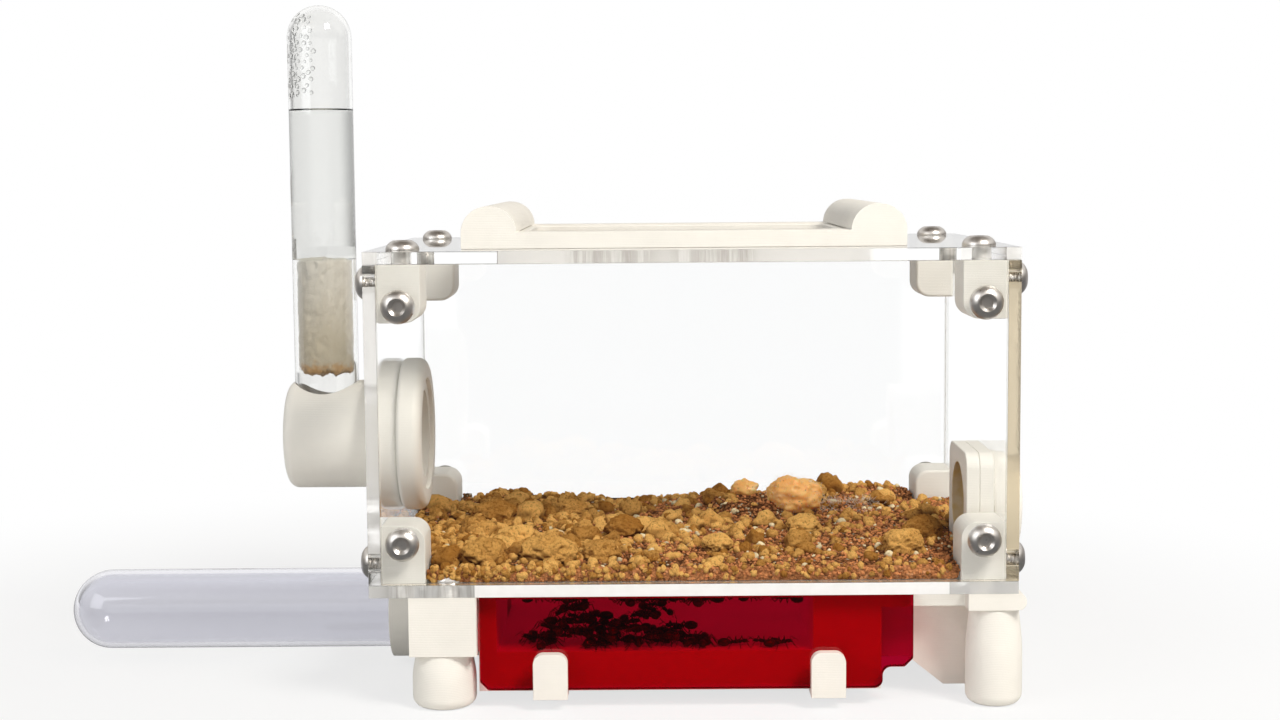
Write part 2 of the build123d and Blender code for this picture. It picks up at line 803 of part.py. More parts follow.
with BuildPart() as soil_bed:
    with BuildSketch(facing_right(-bed_length / 2)):
        with BuildLine():
            Polyline(
                (-bed_back, floor_top),
                (bed_back, floor_top),
                (bed_back, floor_top + soil_back),
                (-bed_back, floor_top + soil_front),
                close=True,
            )
        make_face()
    extrude(amount=bed_length)
    with BuildSketch(level(floor_top)):
        with GridLocations(2 * side_inner - bracket_clear_x, 2 * face_inner - bracket_clear_y, 2, 2):
            Rectangle(bracket_clear_x, bracket_clear_y)
        with Locations((side_inner - port_clear / 2, port_y)):
            Rectangle(port_clear, port_plate_wide + 2 * seat_gap)
        with Locations((entry_x, entry_y)):
            Circle(entry_radius + entry_lip + seat_gap)
    extrude(amount=soil_back, mode=Mode.SUBTRACT)
    with Locations(*nest_screws()):
        Cylinder(head_radius + seat_gap, 2 * soil_back, mode=Mode.SUBTRACT)
save(soil_bed, "soil_bed")
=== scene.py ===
from math import cos, exp, hypot, pi, radians, sin, sqrt

import bmesh
import bpy
from bpy.props import FloatProperty, FloatVectorProperty, IntProperty, PointerProperty
from mathutils import Matrix, Vector, noise


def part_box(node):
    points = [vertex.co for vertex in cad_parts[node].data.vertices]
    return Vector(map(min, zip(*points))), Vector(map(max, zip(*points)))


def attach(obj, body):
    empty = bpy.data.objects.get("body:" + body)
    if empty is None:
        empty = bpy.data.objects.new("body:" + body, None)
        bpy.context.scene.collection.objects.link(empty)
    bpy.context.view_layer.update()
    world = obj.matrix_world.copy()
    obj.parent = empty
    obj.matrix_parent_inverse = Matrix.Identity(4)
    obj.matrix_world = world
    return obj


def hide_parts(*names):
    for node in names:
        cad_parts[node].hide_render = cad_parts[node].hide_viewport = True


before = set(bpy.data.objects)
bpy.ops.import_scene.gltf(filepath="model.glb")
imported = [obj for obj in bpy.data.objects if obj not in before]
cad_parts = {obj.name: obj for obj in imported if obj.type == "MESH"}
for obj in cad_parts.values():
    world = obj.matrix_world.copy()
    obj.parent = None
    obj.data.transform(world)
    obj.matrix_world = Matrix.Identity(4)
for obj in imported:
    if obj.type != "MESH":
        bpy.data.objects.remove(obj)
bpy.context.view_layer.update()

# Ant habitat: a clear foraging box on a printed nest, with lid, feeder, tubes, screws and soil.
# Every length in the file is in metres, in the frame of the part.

bl_info = {
    "name": "Ant Habitat",
    "version": (1, 0, 0),
    "blender": (4, 5, 0),
    "location": "3D Viewport > Sidebar > Ant Habitat",
    "description": "Dresses a clear foraging box on a printed nest with feeder, tubes and soil",
    "category": "Add Mesh",
}

MM = 0.001
ROOF_LOW, ROOF_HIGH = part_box("roof_panel")
SOIL_LOW, SOIL_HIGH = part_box("soil_bed")
TUBE_LOW, TUBE_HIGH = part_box("water_tube")
SIDE_LOW, SIDE_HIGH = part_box("side_tube")
MESH_LOW, MESH_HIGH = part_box("vent_mesh")
ENTRY_LOW, ENTRY_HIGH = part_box("entry_collar")
BOX_X = (ROOF_LOW.x + ROOF_HIGH.x) / 2
TABLE_TO_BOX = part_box("floor_panel")[0].z

# refraction of the clear materials
ACRYLIC_IOR, TUBE_IOR, WATER_IOR = 1.49, 1.47, 1.333

# what dry earth looks like before its colours, and plain white
DRY = {"Roughness": 1.0, "Specular IOR Level": 0.0}
WHITE = (1.0, 1.0, 1.0, 1.0)

# the camera's sensor in millimetres, what it can see, and the radius of the floor
SENSOR, NEAREST, FARTHEST, FLOOR_RADIUS = 36.0, 0.01, 20.0, 3.0

# walls of the two tubes, and the air or overlap left between the pieces of the filled one
TUBE_WALL, SIDE_WALL = 1.0 * MM, 1.2 * MM
WATER_OVERLAP, COTTON_AIR = 0.04 * MM, 0.06 * MM

# air left around the sheets and the window, so that no face lies in another
SHEET_AIR, WINDOW_AIR = 0.04 * MM, 0.02 * MM

# screw heads: half their width, their height, and the height of the countersunk ones
HEAD_INSET, HEAD_TALL, FLUSH_TALL = 3.8 * MM, 2.2 * MM, 1.8 * MM


# ---------------------------------------------------------------- sizes and colours


def colour(label, words, value):
    """A colour that a user can change."""
    look = {"subtype": "COLOR", "size": 3, "min": 0.0, "max": 1.0}
    return FloatVectorProperty(name=label, description=words, default=value, **look)


def length(label, words, value):
    """A length that a user can change."""
    look = {"unit": "LENGTH", "precision": 5, "min": 0.0}
    return FloatProperty(name=label, description=words, default=value, **look)


def amount(label, words, value, **look):
    """A number that a user can change."""
    return FloatProperty(name=label, description=words, default=value, **look)


class HabitatColours(bpy.types.PropertyGroup):
    """Colours of the finishes."""

    printed: colour("Printed plastic", "Brackets, lid, nest, feeder and port", (0.87, 0.84, 0.775))
    acrylic: colour("Clear acrylic", "Sheets of the foraging box", (0.997, 0.999, 0.999))
    window: colour("Red window", "Tinted sheet in front of the nest", (0.44, 0.0, 0.022))
    ochre: colour("Ochre clods", "Large crumbs of the substrate", (0.72, 0.355, 0.095))
    red_grit: colour("Reddish grit", "Fine crumbs of the substrate", (0.66, 0.265, 0.10))
    pebble: colour("Cream pebbles", "Pale stones in the substrate", (0.80, 0.67, 0.42))
    ant: colour("Ants", "Body of the ants", (0.035, 0.014, 0.008))


class HabitatSizes(bpy.types.PropertyGroup):
    """Sizes of what the scene adds to the part."""

    sheet_edge: length("Sheet edge", "How far the edges of the acrylic sheets are broken", 0.2 * MM)
    printed_edge: length("Printed edge", "Rounding on the edges of the printed pieces", 0.35 * MM)
    thread_pitch: length("Thread pitch", "Pitch of the screws' thread", 0.7 * MM)
    wire_pitch: length("Wire pitch", "Spacing of the wires in the lid's mesh", 1.4 * MM)
    wire_radius: length("Wire radius", "Radius of one wire in the lid's mesh", 0.12 * MM)
    clod: length("Clod size", "Radius of the largest crumbs of the substrate", 4.4 * MM)
    grit: length("Grit size", "Radius of the fine crumbs of the substrate", 0.7 * MM)
    clod_seed: IntProperty(
        name="Soil seed", description="Changes how the substrate is strewn", default=7, min=0
    )


class HabitatStage(bpy.types.PropertyGroup):
    """Camera and light."""

    camera_place: FloatVectorProperty(
        name="Camera place", description="Where the camera stands",
        subtype="TRANSLATION", unit="LENGTH", size=3,
        default=(BOX_X - 9.84 * MM, ROOF_LOW.y - 453.7 * MM, TABLE_TO_BOX + 97.74 * MM),
    )
    camera_turn: amount(
        "Camera turn", "Turn to the right of straight ahead", -0.00453, subtype="ANGLE"
    )
    camera_dip: amount("Camera dip", "Tilt below the horizon", 0.09419, subtype="ANGLE")
    camera_roll: amount("Camera roll", "Lean of the camera", -0.00828, subtype="ANGLE")
    lens: amount("Lens", "Focal length in millimetres on a 36 mm sensor", 56.2, min=1.0)
    key: amount("Key light", "Power of the large lamp", 8.7, subtype="POWER", min=0.0)
    fill: amount("Fill light", "Power of the soft lamp", 2.4, subtype="POWER", min=0.0)
    sky: amount("Room light", "Strength of the even light of the room", 0.34, min=0.0)


# ---------------------------------------------------------------- nodes and meshes


def node(tree, kind, inputs=None, **settings):
    """Adds a node. An input is given a value or the socket that feeds it."""
    made = tree.nodes.new(kind)
    for key, value in settings.items():
        setattr(made, key, value)
    for key, value in (inputs or {}).items():
        if isinstance(value, bpy.types.NodeSocket):
            tree.links.new(value, made.inputs[key])
        else:
            made.inputs[key].default_value = value
    return made


def result(tree, kind, inputs=None, **settings):
    """Adds a node and gives its first output."""
    return node(tree, kind, inputs, **settings).outputs[0]


def feed(shader, key, source):
    """Feeds one input of a shader."""
    shader.id_data.links.new(source, shader.inputs[key])


def reckon(tree, operation, *values, clamp=False):
    """The result of one sum on numbers or sockets."""
    inputs = dict(enumerate(values))
    return result(tree, "ShaderNodeMath", inputs, operation=operation, use_clamp=clamp)


def times(tree, first, second):
    return reckon(tree, "MULTIPLY", first, second)


def plus(tree, first, second):
    return reckon(tree, "ADD", first, second)


def minus(tree, first, second):
    return reckon(tree, "SUBTRACT", first, second)


def divided(tree, first, second):
    return reckon(tree, "DIVIDE", first, second)


def times_plus(tree, first, factor, second):
    """The first number times a factor, plus the second."""
    return reckon(tree, "MULTIPLY_ADD", first, factor, second)


def vectors(tree, operation, first, second):
    """The result of one sum on vectors. The second is a number where it scales the first."""
    key = "Scale" if operation == "SCALE" else 1
    inputs = {0: first, key: second}
    return result(tree, "ShaderNodeVectorMath", inputs, operation=operation)


def axes_of(tree, place):
    """The three parts of a vector, by the names X, Y and Z."""
    return node(tree, "ShaderNodeSeparateXYZ", {0: place}).outputs


def vector_of(tree, **parts):
    """A vector from any of its parts x, y and z."""
    inputs = {axis.upper(): part for axis, part in parts.items()}
    return result(tree, "ShaderNodeCombineXYZ", inputs)


def ramp(tree, value, start, end, low=0.0, high=1.0, smooth=True):
    """Follows value from low to high between start and end."""
    kind = "SMOOTHSTEP" if smooth else "LINEAR"
    inputs = {"Value": value, "From Min": start, "From Max": end, "To Min": low, "To Max": high}
    return result(tree, "ShaderNodeMapRange", inputs, interpolation_type=kind)


def tone(tree, share, first, second):
    """A colour between two colours."""
    pair = [c if isinstance(c, bpy.types.NodeSocket) else (*c, 1.0) for c in (first, second)]
    inputs = {0: share, 6: pair[0], 7: pair[1]}
    return node(tree, "ShaderNodeMix", inputs, data_type="RGBA").outputs[2]


def grain(tree, place, scale, detail=3.0, roughness=0.55):
    """Noise of a given scale, in waves per metre."""
    inputs = {"Vector": place, "Scale": scale, "Detail": detail, "Roughness": roughness}
    return result(tree, "ShaderNodeTexNoise", inputs)


def scaled(tint, share):
    """A colour made darker or lighter."""
    return tuple(min(c * share, 1.0) for c in tint)


def new_finish(name, values):
    """A material with its shader, ready for its pattern."""
    material = bpy.data.materials.new(name)
    material.use_nodes = True
    tree = material.node_tree
    shader = tree.nodes["Principled BSDF"]
    for key, value in values.items():
        shader.inputs[key].default_value = value
    return material, tree, shader


def place_of(tree):
    """Where a point of the surface is, in the frame of the part."""
    return node(tree, "ShaderNodeTexCoord").outputs["Object"]


def relief(tree, shader, height, depth, strength=1.0):
    """Feeds a height to the shader's normal. Depth is in metres."""
    inputs = {"Strength": strength, "Distance": depth, "Height": height}
    feed(shader, "Normal", result(tree, "ShaderNodeBump", inputs))


def new_clear_finish(name, tint, refraction, share=1.0, rough=0.5):
    """A clear material with its shader. Share is how much of the light passes through it."""
    values = {"Base Color": (*tint, 1.0), "Transmission Weight": share}
    return new_finish(name, {**values, "IOR": refraction, "Roughness": rough})


def let_light_through(tree, shader, tint):
    """Lamps reach what is behind this surface, tinted."""
    rays = node(tree, "ShaderNodeLightPath")
    passing = reckon(tree, "MAXIMUM", rays.outputs["Is Shadow Ray"], rays.outputs["Is Diffuse Ray"])
    clear = result(tree, "ShaderNodeBsdfTransparent", {"Color": (*tint, 1.0)})
    both = result(tree, "ShaderNodeMixShader", {0: passing, 1: shader.outputs[0], 2: clear})
    feed(tree.nodes["Material Output"], "Surface", both)


def finish(name):
    """The named material, made once. The part's own plain materials keep their names."""
    own = "habitat_" + name
    return bpy.data.materials.get(own) or MAKERS[name](own)


def new_piece(name, mesh):
    """An object at the origin that shows a mesh."""
    obj = bpy.data.objects.new(name, mesh)
    bpy.context.scene.collection.objects.link(obj)
    return obj


def settle(obj):
    """Applies the modifiers and leaves a plain mesh."""
    graph = bpy.context.evaluated_depsgraph_get()
    source = obj.evaluated_get(graph)
    mesh = bpy.data.meshes.new_from_object(source, preserve_all_data_layers=True, depsgraph=graph)
    obj.modifiers.clear()
    old, obj.data = obj.data, mesh
    bpy.data.meshes.remove(old)
    mesh.name = obj.name
    return obj


def dress(obj, material, body, replaces=()):
    """Gives a finished piece its material and its place on the part."""
    if material and not obj.data.materials:
        obj.data.materials.append(finish(material))
    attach(obj, body)
    if replaces:
        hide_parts(*replaces)
    return obj


def mesh_from(name, bm, angle=40.0):
    """Turns a bmesh into a smooth mesh that keeps its sharp edges."""
    mesh = bpy.data.meshes.new(name)
    bm.to_mesh(mesh)
    bm.free()
    mesh.shade_smooth()
    mesh.set_sharp_from_angle(angle=radians(angle))
    return mesh


def broken_edges(part_node, name, edge, inset=0.0, cuts=(), along=0):
    """A copy of a node of the part whose edges are rounded. Inset draws its faces in, to leave a
    hair of air. Cuts are places along an axis where its faces are parted for a change of finish."""
    bm = bmesh.new()
    bm.from_mesh(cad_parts[part_node].data)
    bmesh.ops.remove_doubles(bm, verts=bm.verts, dist=2e-6)
    bmesh.ops.dissolve_limit(bm, angle_limit=radians(0.4), verts=bm.verts, edges=bm.edges)
    axis = Vector([1.0 if i == along else 0.0 for i in range(3)])
    for place in cuts:
        whole = bm.verts[:] + bm.edges[:] + bm.faces[:]
        bmesh.ops.bisect_plane(bm, geom=whole, plane_co=axis * place, plane_no=axis)
    bm.normal_update()
    if inset:
        moves = [(v, v.normal * inset * v.calc_shell_factor()) for v in bm.verts]
        for v, move in moves:
            v.co -= move
    for layer in list(bm.loops.layers.float_vector.values()):
        bm.loops.layers.float_vector.remove(layer)
    mesh = mesh_from(name, bm, 30.0)
    for attribute in [a.name for a in mesh.attributes if a.name == "custom_normal"]:
        mesh.attributes.remove(mesh.attributes[attribute])
    obj = new_piece(name, mesh)
    if edge:
        bevel = obj.modifiers.new("Edges", "BEVEL")
        bevel.width = edge
        bevel.segments = 2
        bevel.limit_method = "ANGLE"
        bevel.angle_limit = radians(30.0)
        bevel.harden_normals = True
        settle(obj)
    obj.data.materials.clear()
    return obj


def printed(source, name, body="habitat", edge=None):
    """A printed piece: a node of the part with rounded edges."""
    edge = edge or bpy.context.scene.habitat_sizes.printed_edge
    piece = broken_edges(source, name, edge)
    return dress(piece, "printed_white", body, (source,))


def paint(obj, names, choose):
    """Gives a piece several materials and picks one of them for each face."""
    for name in names:
        obj.data.materials.append(finish(name))
    for face in obj.data.polygons:
        face.material_index = choose(face)


def lathe(outline, foot, axis, segments=96):
    """Turns an outline of (height, radius) points about an axis. A radius of 0 closes an end."""
    along = Vector(axis).normalized()
    side = along.orthogonal().normalized()
    other = along.cross(side)
    bm = bmesh.new()
    rings = []
    for height, radius in outline:
        centre = Vector(foot) + along * height
        if radius < 1e-9:
            rings.append([bm.verts.new(centre)] * segments)
            continue
        turns = [2 * pi * i / segments for i in range(segments)]
        spokes = [side * cos(a) + other * sin(a) for a in turns]
        rings.append([bm.verts.new(centre + spoke * radius) for spoke in spokes])
    for low, high in zip(rings, rings[1:]):
        for i in range(segments):
            j = (i + 1) % segments
            corners = list(dict.fromkeys((low[i], low[j], high[j], high[i])))
            if len(corners) > 2:
                bm.faces.new(corners)
    bmesh.ops.recalc_face_normals(bm, faces=bm.faces)
    return bm


def arc(centre, radius, start, end, steps):
    """Points of (height, radius) along an arc about (centre, 0), in degrees from the axis."""
    turns = [radians(start + (end - start) * i / steps) for i in range(steps + 1)]
    return [(centre - radius * cos(a), abs(radius * sin(a)) if a > 1e-9 else 0.0) for a in turns]


def test_tube(name, foot, axis, long, outer, wall):
    """A tube with one round end at foot and an open, fire-rounded mouth."""
    inner = outer - wall
    lip = wall / 2
    outline = arc(outer, outer, 0, 90, 20)
    outline += [(long * share, outer) for share in (0.3, 0.5, 0.7, 0.9)]
    turns = [pi * i / 6 for i in range(7)]
    outline += [(long - lip + lip * sin(a), inner + lip + lip * cos(a)) for a in turns]
    outline += [(long * share, inner) for share in (0.9, 0.7, 0.5, 0.3)]
    outline += list(reversed(arc(outer, inner, 0, 90, 20)))
    return mesh_from(name, lathe(outline, foot, axis), 60.0)


def start_tree(name, sizes):
    """A node tree with a geometry, named sizes and a material as its inputs. None is an object."""
    tree = bpy.data.node_groups.new(name, "GeometryNodeTree")
    tree.interface.new_socket("Geometry", in_out="INPUT", socket_type="NodeSocketGeometry")
    kinds = {float: "Float", int: "Int", str: "String", type(None): "Object"}
    for label, value in sizes.items():
        kind = "NodeSocket" + kinds[type(value)]
        tree.interface.new_socket(label, in_out="INPUT", socket_type=kind).default_value = value
    tree.interface.new_socket("Material", in_out="INPUT", socket_type="NodeSocketMaterial")
    tree.interface.new_socket("Geometry", in_out="OUTPUT", socket_type="NodeSocketGeometry")
    return tree, node(tree, "NodeGroupInput").outputs


def end_tree(tree, geometry, material):
    """Closes a tree with real geometry that carries its material."""
    whole = realized(tree, geometry)
    dressed = result(tree, "GeometryNodeSetMaterial", {"Geometry": whole, "Material": material})
    node(tree, "NodeGroupOutput", {"Geometry": dressed})
    return tree


def run_tree(obj, tree, values):
    """Runs a tree on an object and leaves the plain mesh that it makes."""
    modifier = obj.modifiers.new(tree.name, "NODES")
    modifier.node_group = tree
    for item in tree.interface.items_tree:
        if item.in_out == "INPUT" and item.name in values:
            modifier[item.identifier] = values[item.name]
    return settle(obj)


def soft_edges(tree, geometry, angle):
    """Shades a geometry smooth, apart from its sharp edges."""
    smooth = smoothed(tree, geometry)
    bend = result(tree, "GeometryNodeInputMeshEdgeAngle")
    inputs = {0: bend, 1: radians(angle)}
    sharp = result(tree, "FunctionNodeCompare", inputs, operation="GREATER_THAN")
    inputs = {"Geometry": smooth, "Selection": sharp, "Shade Smooth": False}
    return result(tree, "GeometryNodeSetShadeSmooth", inputs, domain="EDGE")


def smoothed(tree, geometry):
    """Shades a geometry smooth."""
    inputs = {"Geometry": geometry, "Shade Smooth": True}
    return result(tree, "GeometryNodeSetShadeSmooth", inputs)


def attribute_of(tree, name, kind="FLOAT"):
    """A named value of each point."""
    return result(tree, "GeometryNodeInputNamedAttribute", {"Name": name}, data_type=kind)


def aligned(tree, way):
    """The rotation that points Z along a way."""
    return result(tree, "FunctionNodeAlignRotationToVector", {"Vector": way}, axis="Z")


def on_points(tree, points, instance, **more):
    """Sets an instance on each point. More inputs are named in small letters."""
    inputs = {key.replace("_", " ").title(): value for key, value in more.items()}
    inputs = {"Points": points, "Instance": instance, **inputs}
    return result(tree, "GeometryNodeInstanceOnPoints", inputs)


def realized(tree, geometry):
    """Turns instances into real geometry."""
    return result(tree, "GeometryNodeRealizeInstances", {"Geometry": geometry})


def moved_to(tree, geometry, **more):
    """Moves the points of a geometry to a position or by an offset."""
    inputs = {"Geometry": geometry, **{key.title(): value for key, value in more.items()}}
    return result(tree, "GeometryNodeSetPosition", inputs)


def joined(tree, *geometries):
    """Several geometries as one."""
    both = node(tree, "GeometryNodeJoinGeometry")
    for geometry in geometries:
        tree.links.new(geometry, both.inputs[0])
    return both.outputs[0]


def lifted(tree, geometry, way):
    """Moves a whole geometry."""
    inputs = {"Geometry": geometry, "Translation": way}
    return result(tree, "GeometryNodeTransform", inputs)


def spread(tree, low, high, seed, kind="FLOAT"):
    """A random value for each point, from a fixed seed."""
    first = {"FLOAT_VECTOR": 0, "FLOAT": 2, "INT": 4}[kind]
    out = {"FLOAT_VECTOR": 0, "FLOAT": 1, "INT": 2}[kind]
    inputs = {first: low, first + 1: high, 8: seed}
    return node(tree, "FunctionNodeRandomValue", inputs, data_type=kind).outputs[out]


# ---------------------------------------------------------------- finishes


def printed_finish(name):
    """Printed white plastic: fine layers, a little uneven in tone."""
    base = bpy.context.scene.habitat_colours.printed
    material, tree, shader = new_finish(name, {"Roughness": 0.55, "Specular IOR Level": 0.35})
    place = place_of(tree)
    waves = {"Vector": place, "Scale": 785.0, "Distortion": 0.8, "Detail": 1.0, "Detail Scale": 0.2}
    layers = node(tree, "ShaderNodeTexWave", waves, bands_direction="Z").outputs["Fac"]
    mottle = grain(tree, place, 110.0, 4.0)
    feed(shader, "Base Color", tone(tree, mottle, scaled(base, 0.93), scaled(base, 1.05)))
    fine = grain(tree, place, 2600.0, 2.0)
    relief(tree, shader, plus(tree, times(tree, layers, 0.7), fine), 0.04 * MM, 0.5)
    return material


def glowing_print_finish(name):
    """Printed plastic of the chamber, with a painted glow standing in for the light inside it."""
    material = printed_finish(name)
    tree = material.node_tree
    shader = tree.nodes["Principled BSDF"]
    # painted glow: a faint warm emission, uneven, that stands in for light inside the chamber
    shader.inputs["Emission Color"].default_value = (1.0, 0.94, 0.88, 1.0)
    cloudy = grain(tree, place_of(tree), 35.0, 3.0)
    feed(shader, "Emission Strength", ramp(tree, cloudy, 0.3, 0.7, 0.07, 0.15))
    return material


def bore_shade_print_finish(name):
    """Printed plastic inside the port, with an uneven tan painted shade."""
    material = printed_finish(name)
    tree = material.node_tree
    shader = tree.nodes["Principled BSDF"]
    clean = shader.inputs["Base Color"].links[0].from_socket
    # painted shade: an uneven tan over the clean plastic
    uneven_bore_shade = ramp(tree, grain(tree, place_of(tree), 300.0, 4.0), 0.35, 0.7, 0.95, 0.7)
    feed(shader, "Base Color", tone(tree, uneven_bore_shade, clean, (0.60, 0.42, 0.18)))
    return material


def clear_finish(name):
    """Polished clear acrylic."""
    base = bpy.context.scene.habitat_colours.acrylic
    material, tree, shader = new_clear_finish(name, base, ACRYLIC_IOR, rough=0.0)
    let_light_through(tree, shader, (0.97, 0.975, 0.975))
    return material


def cut_edge_finish(name, shades=((0.62, 0.60, 0.57), (1.0, 0.995, 0.98))):
    """The cut edge of a clear sheet: milky, with the marks of the cutter across it."""
    material, tree, shader = new_clear_finish(name, (0.85, 0.83, 0.79), ACRYLIC_IOR, 0.5)
    place = place_of(tree)
    upright = vectors(tree, "MULTIPLY", place, (1.0, 1.0, 0.05))
    streaks = ramp(tree, grain(tree, upright, 420.0, 5.0, 0.7), 0.38, 0.64)
    smooth = ramp(tree, grain(tree, upright, 36.0, 2.0), 0.44, 0.56)
    streaks = reckon(tree, "MAXIMUM", streaks, smooth)
    feed(shader, "Base Color", tone(tree, streaks, *shades))
    feed(shader, "Roughness", ramp(tree, grain(tree, place, 500.0), 0.3, 0.7, 0.03, 0.16))
    relief(tree, shader, grain(tree, place, 1300.0, 2.0), 0.03 * MM, 0.6)
    let_light_through(tree, shader, (0.93, 0.925, 0.915))
    return material


def warm_edge_finish(name):
    """The long upright edges, which look beige through the whole length of the sheet."""
    return cut_edge_finish(name, ((0.60, 0.51, 0.37), (0.69, 0.61, 0.465)))


def frosted_edge_finish(name):
    """The floor sheet's long edges, which glow with the light that runs inside the sheet."""
    tint = (0.93, 0.925, 0.915)
    material, tree, shader = new_clear_finish(name, tint, ACRYLIC_IOR, 0.1, 0.28)
    place = place_of(tree)
    streaks = ramp(tree, grain(tree, place, 240.0, 4.0), 0.35, 0.7)
    feed(shader, "Base Color", tone(tree, streaks, (0.94, 0.935, 0.925), (0.99, 0.99, 0.985)))
    relief(tree, shader, grain(tree, place, 1500.0, 2.0), 0.02 * MM, 0.5)
    let_light_through(tree, shader, (0.9, 0.9, 0.89))
    return material


def red_edge_finish(name):
    """Polished edges of the red sheet, which keep its light inside."""
    tint = (0.20, 0.0, 0.006)
    material, tree, shader = new_clear_finish(name, tint, ACRYLIC_IOR, 0.4, 0.15)
    relief(tree, shader, grain(tree, place_of(tree), 900.0, 2.0), 0.03 * MM, 0.5)
    return material


def window_finish(name):
    """Red tinted acrylic."""
    base = bpy.context.scene.habitat_colours.window
    material, tree, shader = new_clear_finish(name, base, ACRYLIC_IOR, rough=0.0)
    let_light_through(tree, shader, (0.95, 0.30, 0.32))
    return material


def tube_finish(name, tint=(0.90, 0.90, 0.89)):
    """Thin clear tube wall."""
    material, tree, shader = new_clear_finish(name, tint, TUBE_IOR)
    handled = grain(tree, place_of(tree), 70.0, 4.0)
    feed(shader, "Roughness", ramp(tree, handled, 0.5, 0.8, 0.0, 0.012))
    let_light_through(tree, shader, (0.965, 0.97, 0.975))
    return material


def shaded_side_tube_finish(name):
    """Clear plastic of the thicker side tube, tinted grey-lavender as painted shade."""
    return tube_finish(name, (0.77, 0.77, 0.81))


def water_finish(name):
    """Still water."""
    tint = (0.94, 0.945, 0.94)
    material, tree, shader = new_clear_finish(name, tint, WATER_IOR, rough=0.0)
    let_light_through(tree, shader, (0.97, 0.985, 0.99))
    return material


def steel_finish(name):
    """Satin stainless steel with turned marks."""
    values = {"Base Color": (0.63, 0.60, 0.57, 1.0), "Metallic": 1.0}
    material, tree, shader = new_finish(name, values)
    place = place_of(tree)
    scuffed = grain(tree, place, 900.0, 4.0)
    feed(shader, "Roughness", ramp(tree, scuffed, 0.3, 0.75, 0.26, 0.42, False))
    relief(tree, shader, grain(tree, place, 5200.0, 2.0), 0.012 * MM, 0.5)
    return material


def wire_finish(name):
    """Woven stainless wire."""
    values = {"Base Color": (0.52, 0.51, 0.49, 1.0), "Metallic": 1.0}
    material, tree, shader = new_finish(name, values)
    worn = grain(tree, place_of(tree), 1500.0, 2.0)
    feed(shader, "Roughness", ramp(tree, worn, 0.3, 0.7, 0.3, 0.5, False))
    return material


def cotton_finish(name):
    """Damp cotton, stained brown at its lower end."""
    values = {"Roughness": 0.9, "Specular IOR Level": 0.2, "Sheen Weight": 0.3}
    material, tree, shader = new_finish(name, values)
    place = place_of(tree)
    height = axes_of(tree, place)["Z"]
    low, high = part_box("cotton_plug")
    ragged = times_plus(tree, grain(tree, place, 520.0, 4.0), 6.0 * MM, height)
    stain = ramp(tree, ragged, low.z + 3.4 * MM, low.z + 6.0 * MM, 0.9, 0.0)
    upper = ramp(tree, height, low.z + 4.0 * MM, high.z - 1.0 * MM)
    dark = tone(tree, upper, (0.47, 0.40, 0.29), (0.62, 0.57, 0.48))
    light = tone(tree, upper, (0.60, 0.53, 0.41), (0.76, 0.72, 0.64))
    damp_and_shade = tone(tree, grain(tree, place, 260.0, 5.0), dark, light)
    brown = tone(tree, grain(tree, place, 700.0, 3.0), (0.36, 0.17, 0.05), (0.66, 0.42, 0.18))
    feed(shader, "Base Color", tone(tree, stain, damp_and_shade, brown))
    fibres = grain(tree, place, 1900.0, 5.0, 0.7)
    relief(tree, shader, fibres, 0.25 * MM, 0.8)
    return material


def from_front(tree, place):
    """How far behind the front of the bed a place is."""
    return minus(tree, axes_of(tree, place)["Y"], SOIL_LOW.y)


def crumb_finish(name, colours, depth=0.9 * MM):
    """Dry crumbling earth in two tones, with painted shade in its pits and underneath."""
    material, tree, shader = new_finish(name, DRY)
    place = place_of(tree)
    patches = grain(tree, place, 190.0, 3.0)
    specks = grain(tree, place, 1300.0, 5.0, 0.72)
    surface = node(tree, "ShaderNodeNewGeometry")
    lot = surface.outputs["Random Per Island"]
    facing = axes_of(tree, surface.outputs["Normal"])["Z"]
    # painted shade is weaker near the front of the bed
    damp_and_shade = ramp(tree, from_front(tree, place), 0.6 * MM, 2.2 * MM, 0.3, 0.95)
    share = plus(tree, times(tree, patches, 0.5), times(tree, specks, 0.5))
    share = ramp(tree, times_plus(tree, lot, 0.7, share), 0.44, 1.15)
    dry = tone(tree, share, *colours)
    # painted shade: darker underneath each crumb and in its pits
    under = times(tree, ramp(tree, facing, -0.65, 0.4, 1.0, 0.0), damp_and_shade)
    pits = reckon(tree, "MAXIMUM", ramp(tree, specks, 0.3, 0.5, 0.7, 0.0), under)
    shade_colour = tuple(c * share for c, share in zip(colours[0], (0.22, 0.15, 0.08)))
    feed(shader, "Base Color", tone(tree, pits, dry, shade_colour))
    relief(tree, shader, specks, depth, 0.9)
    return material


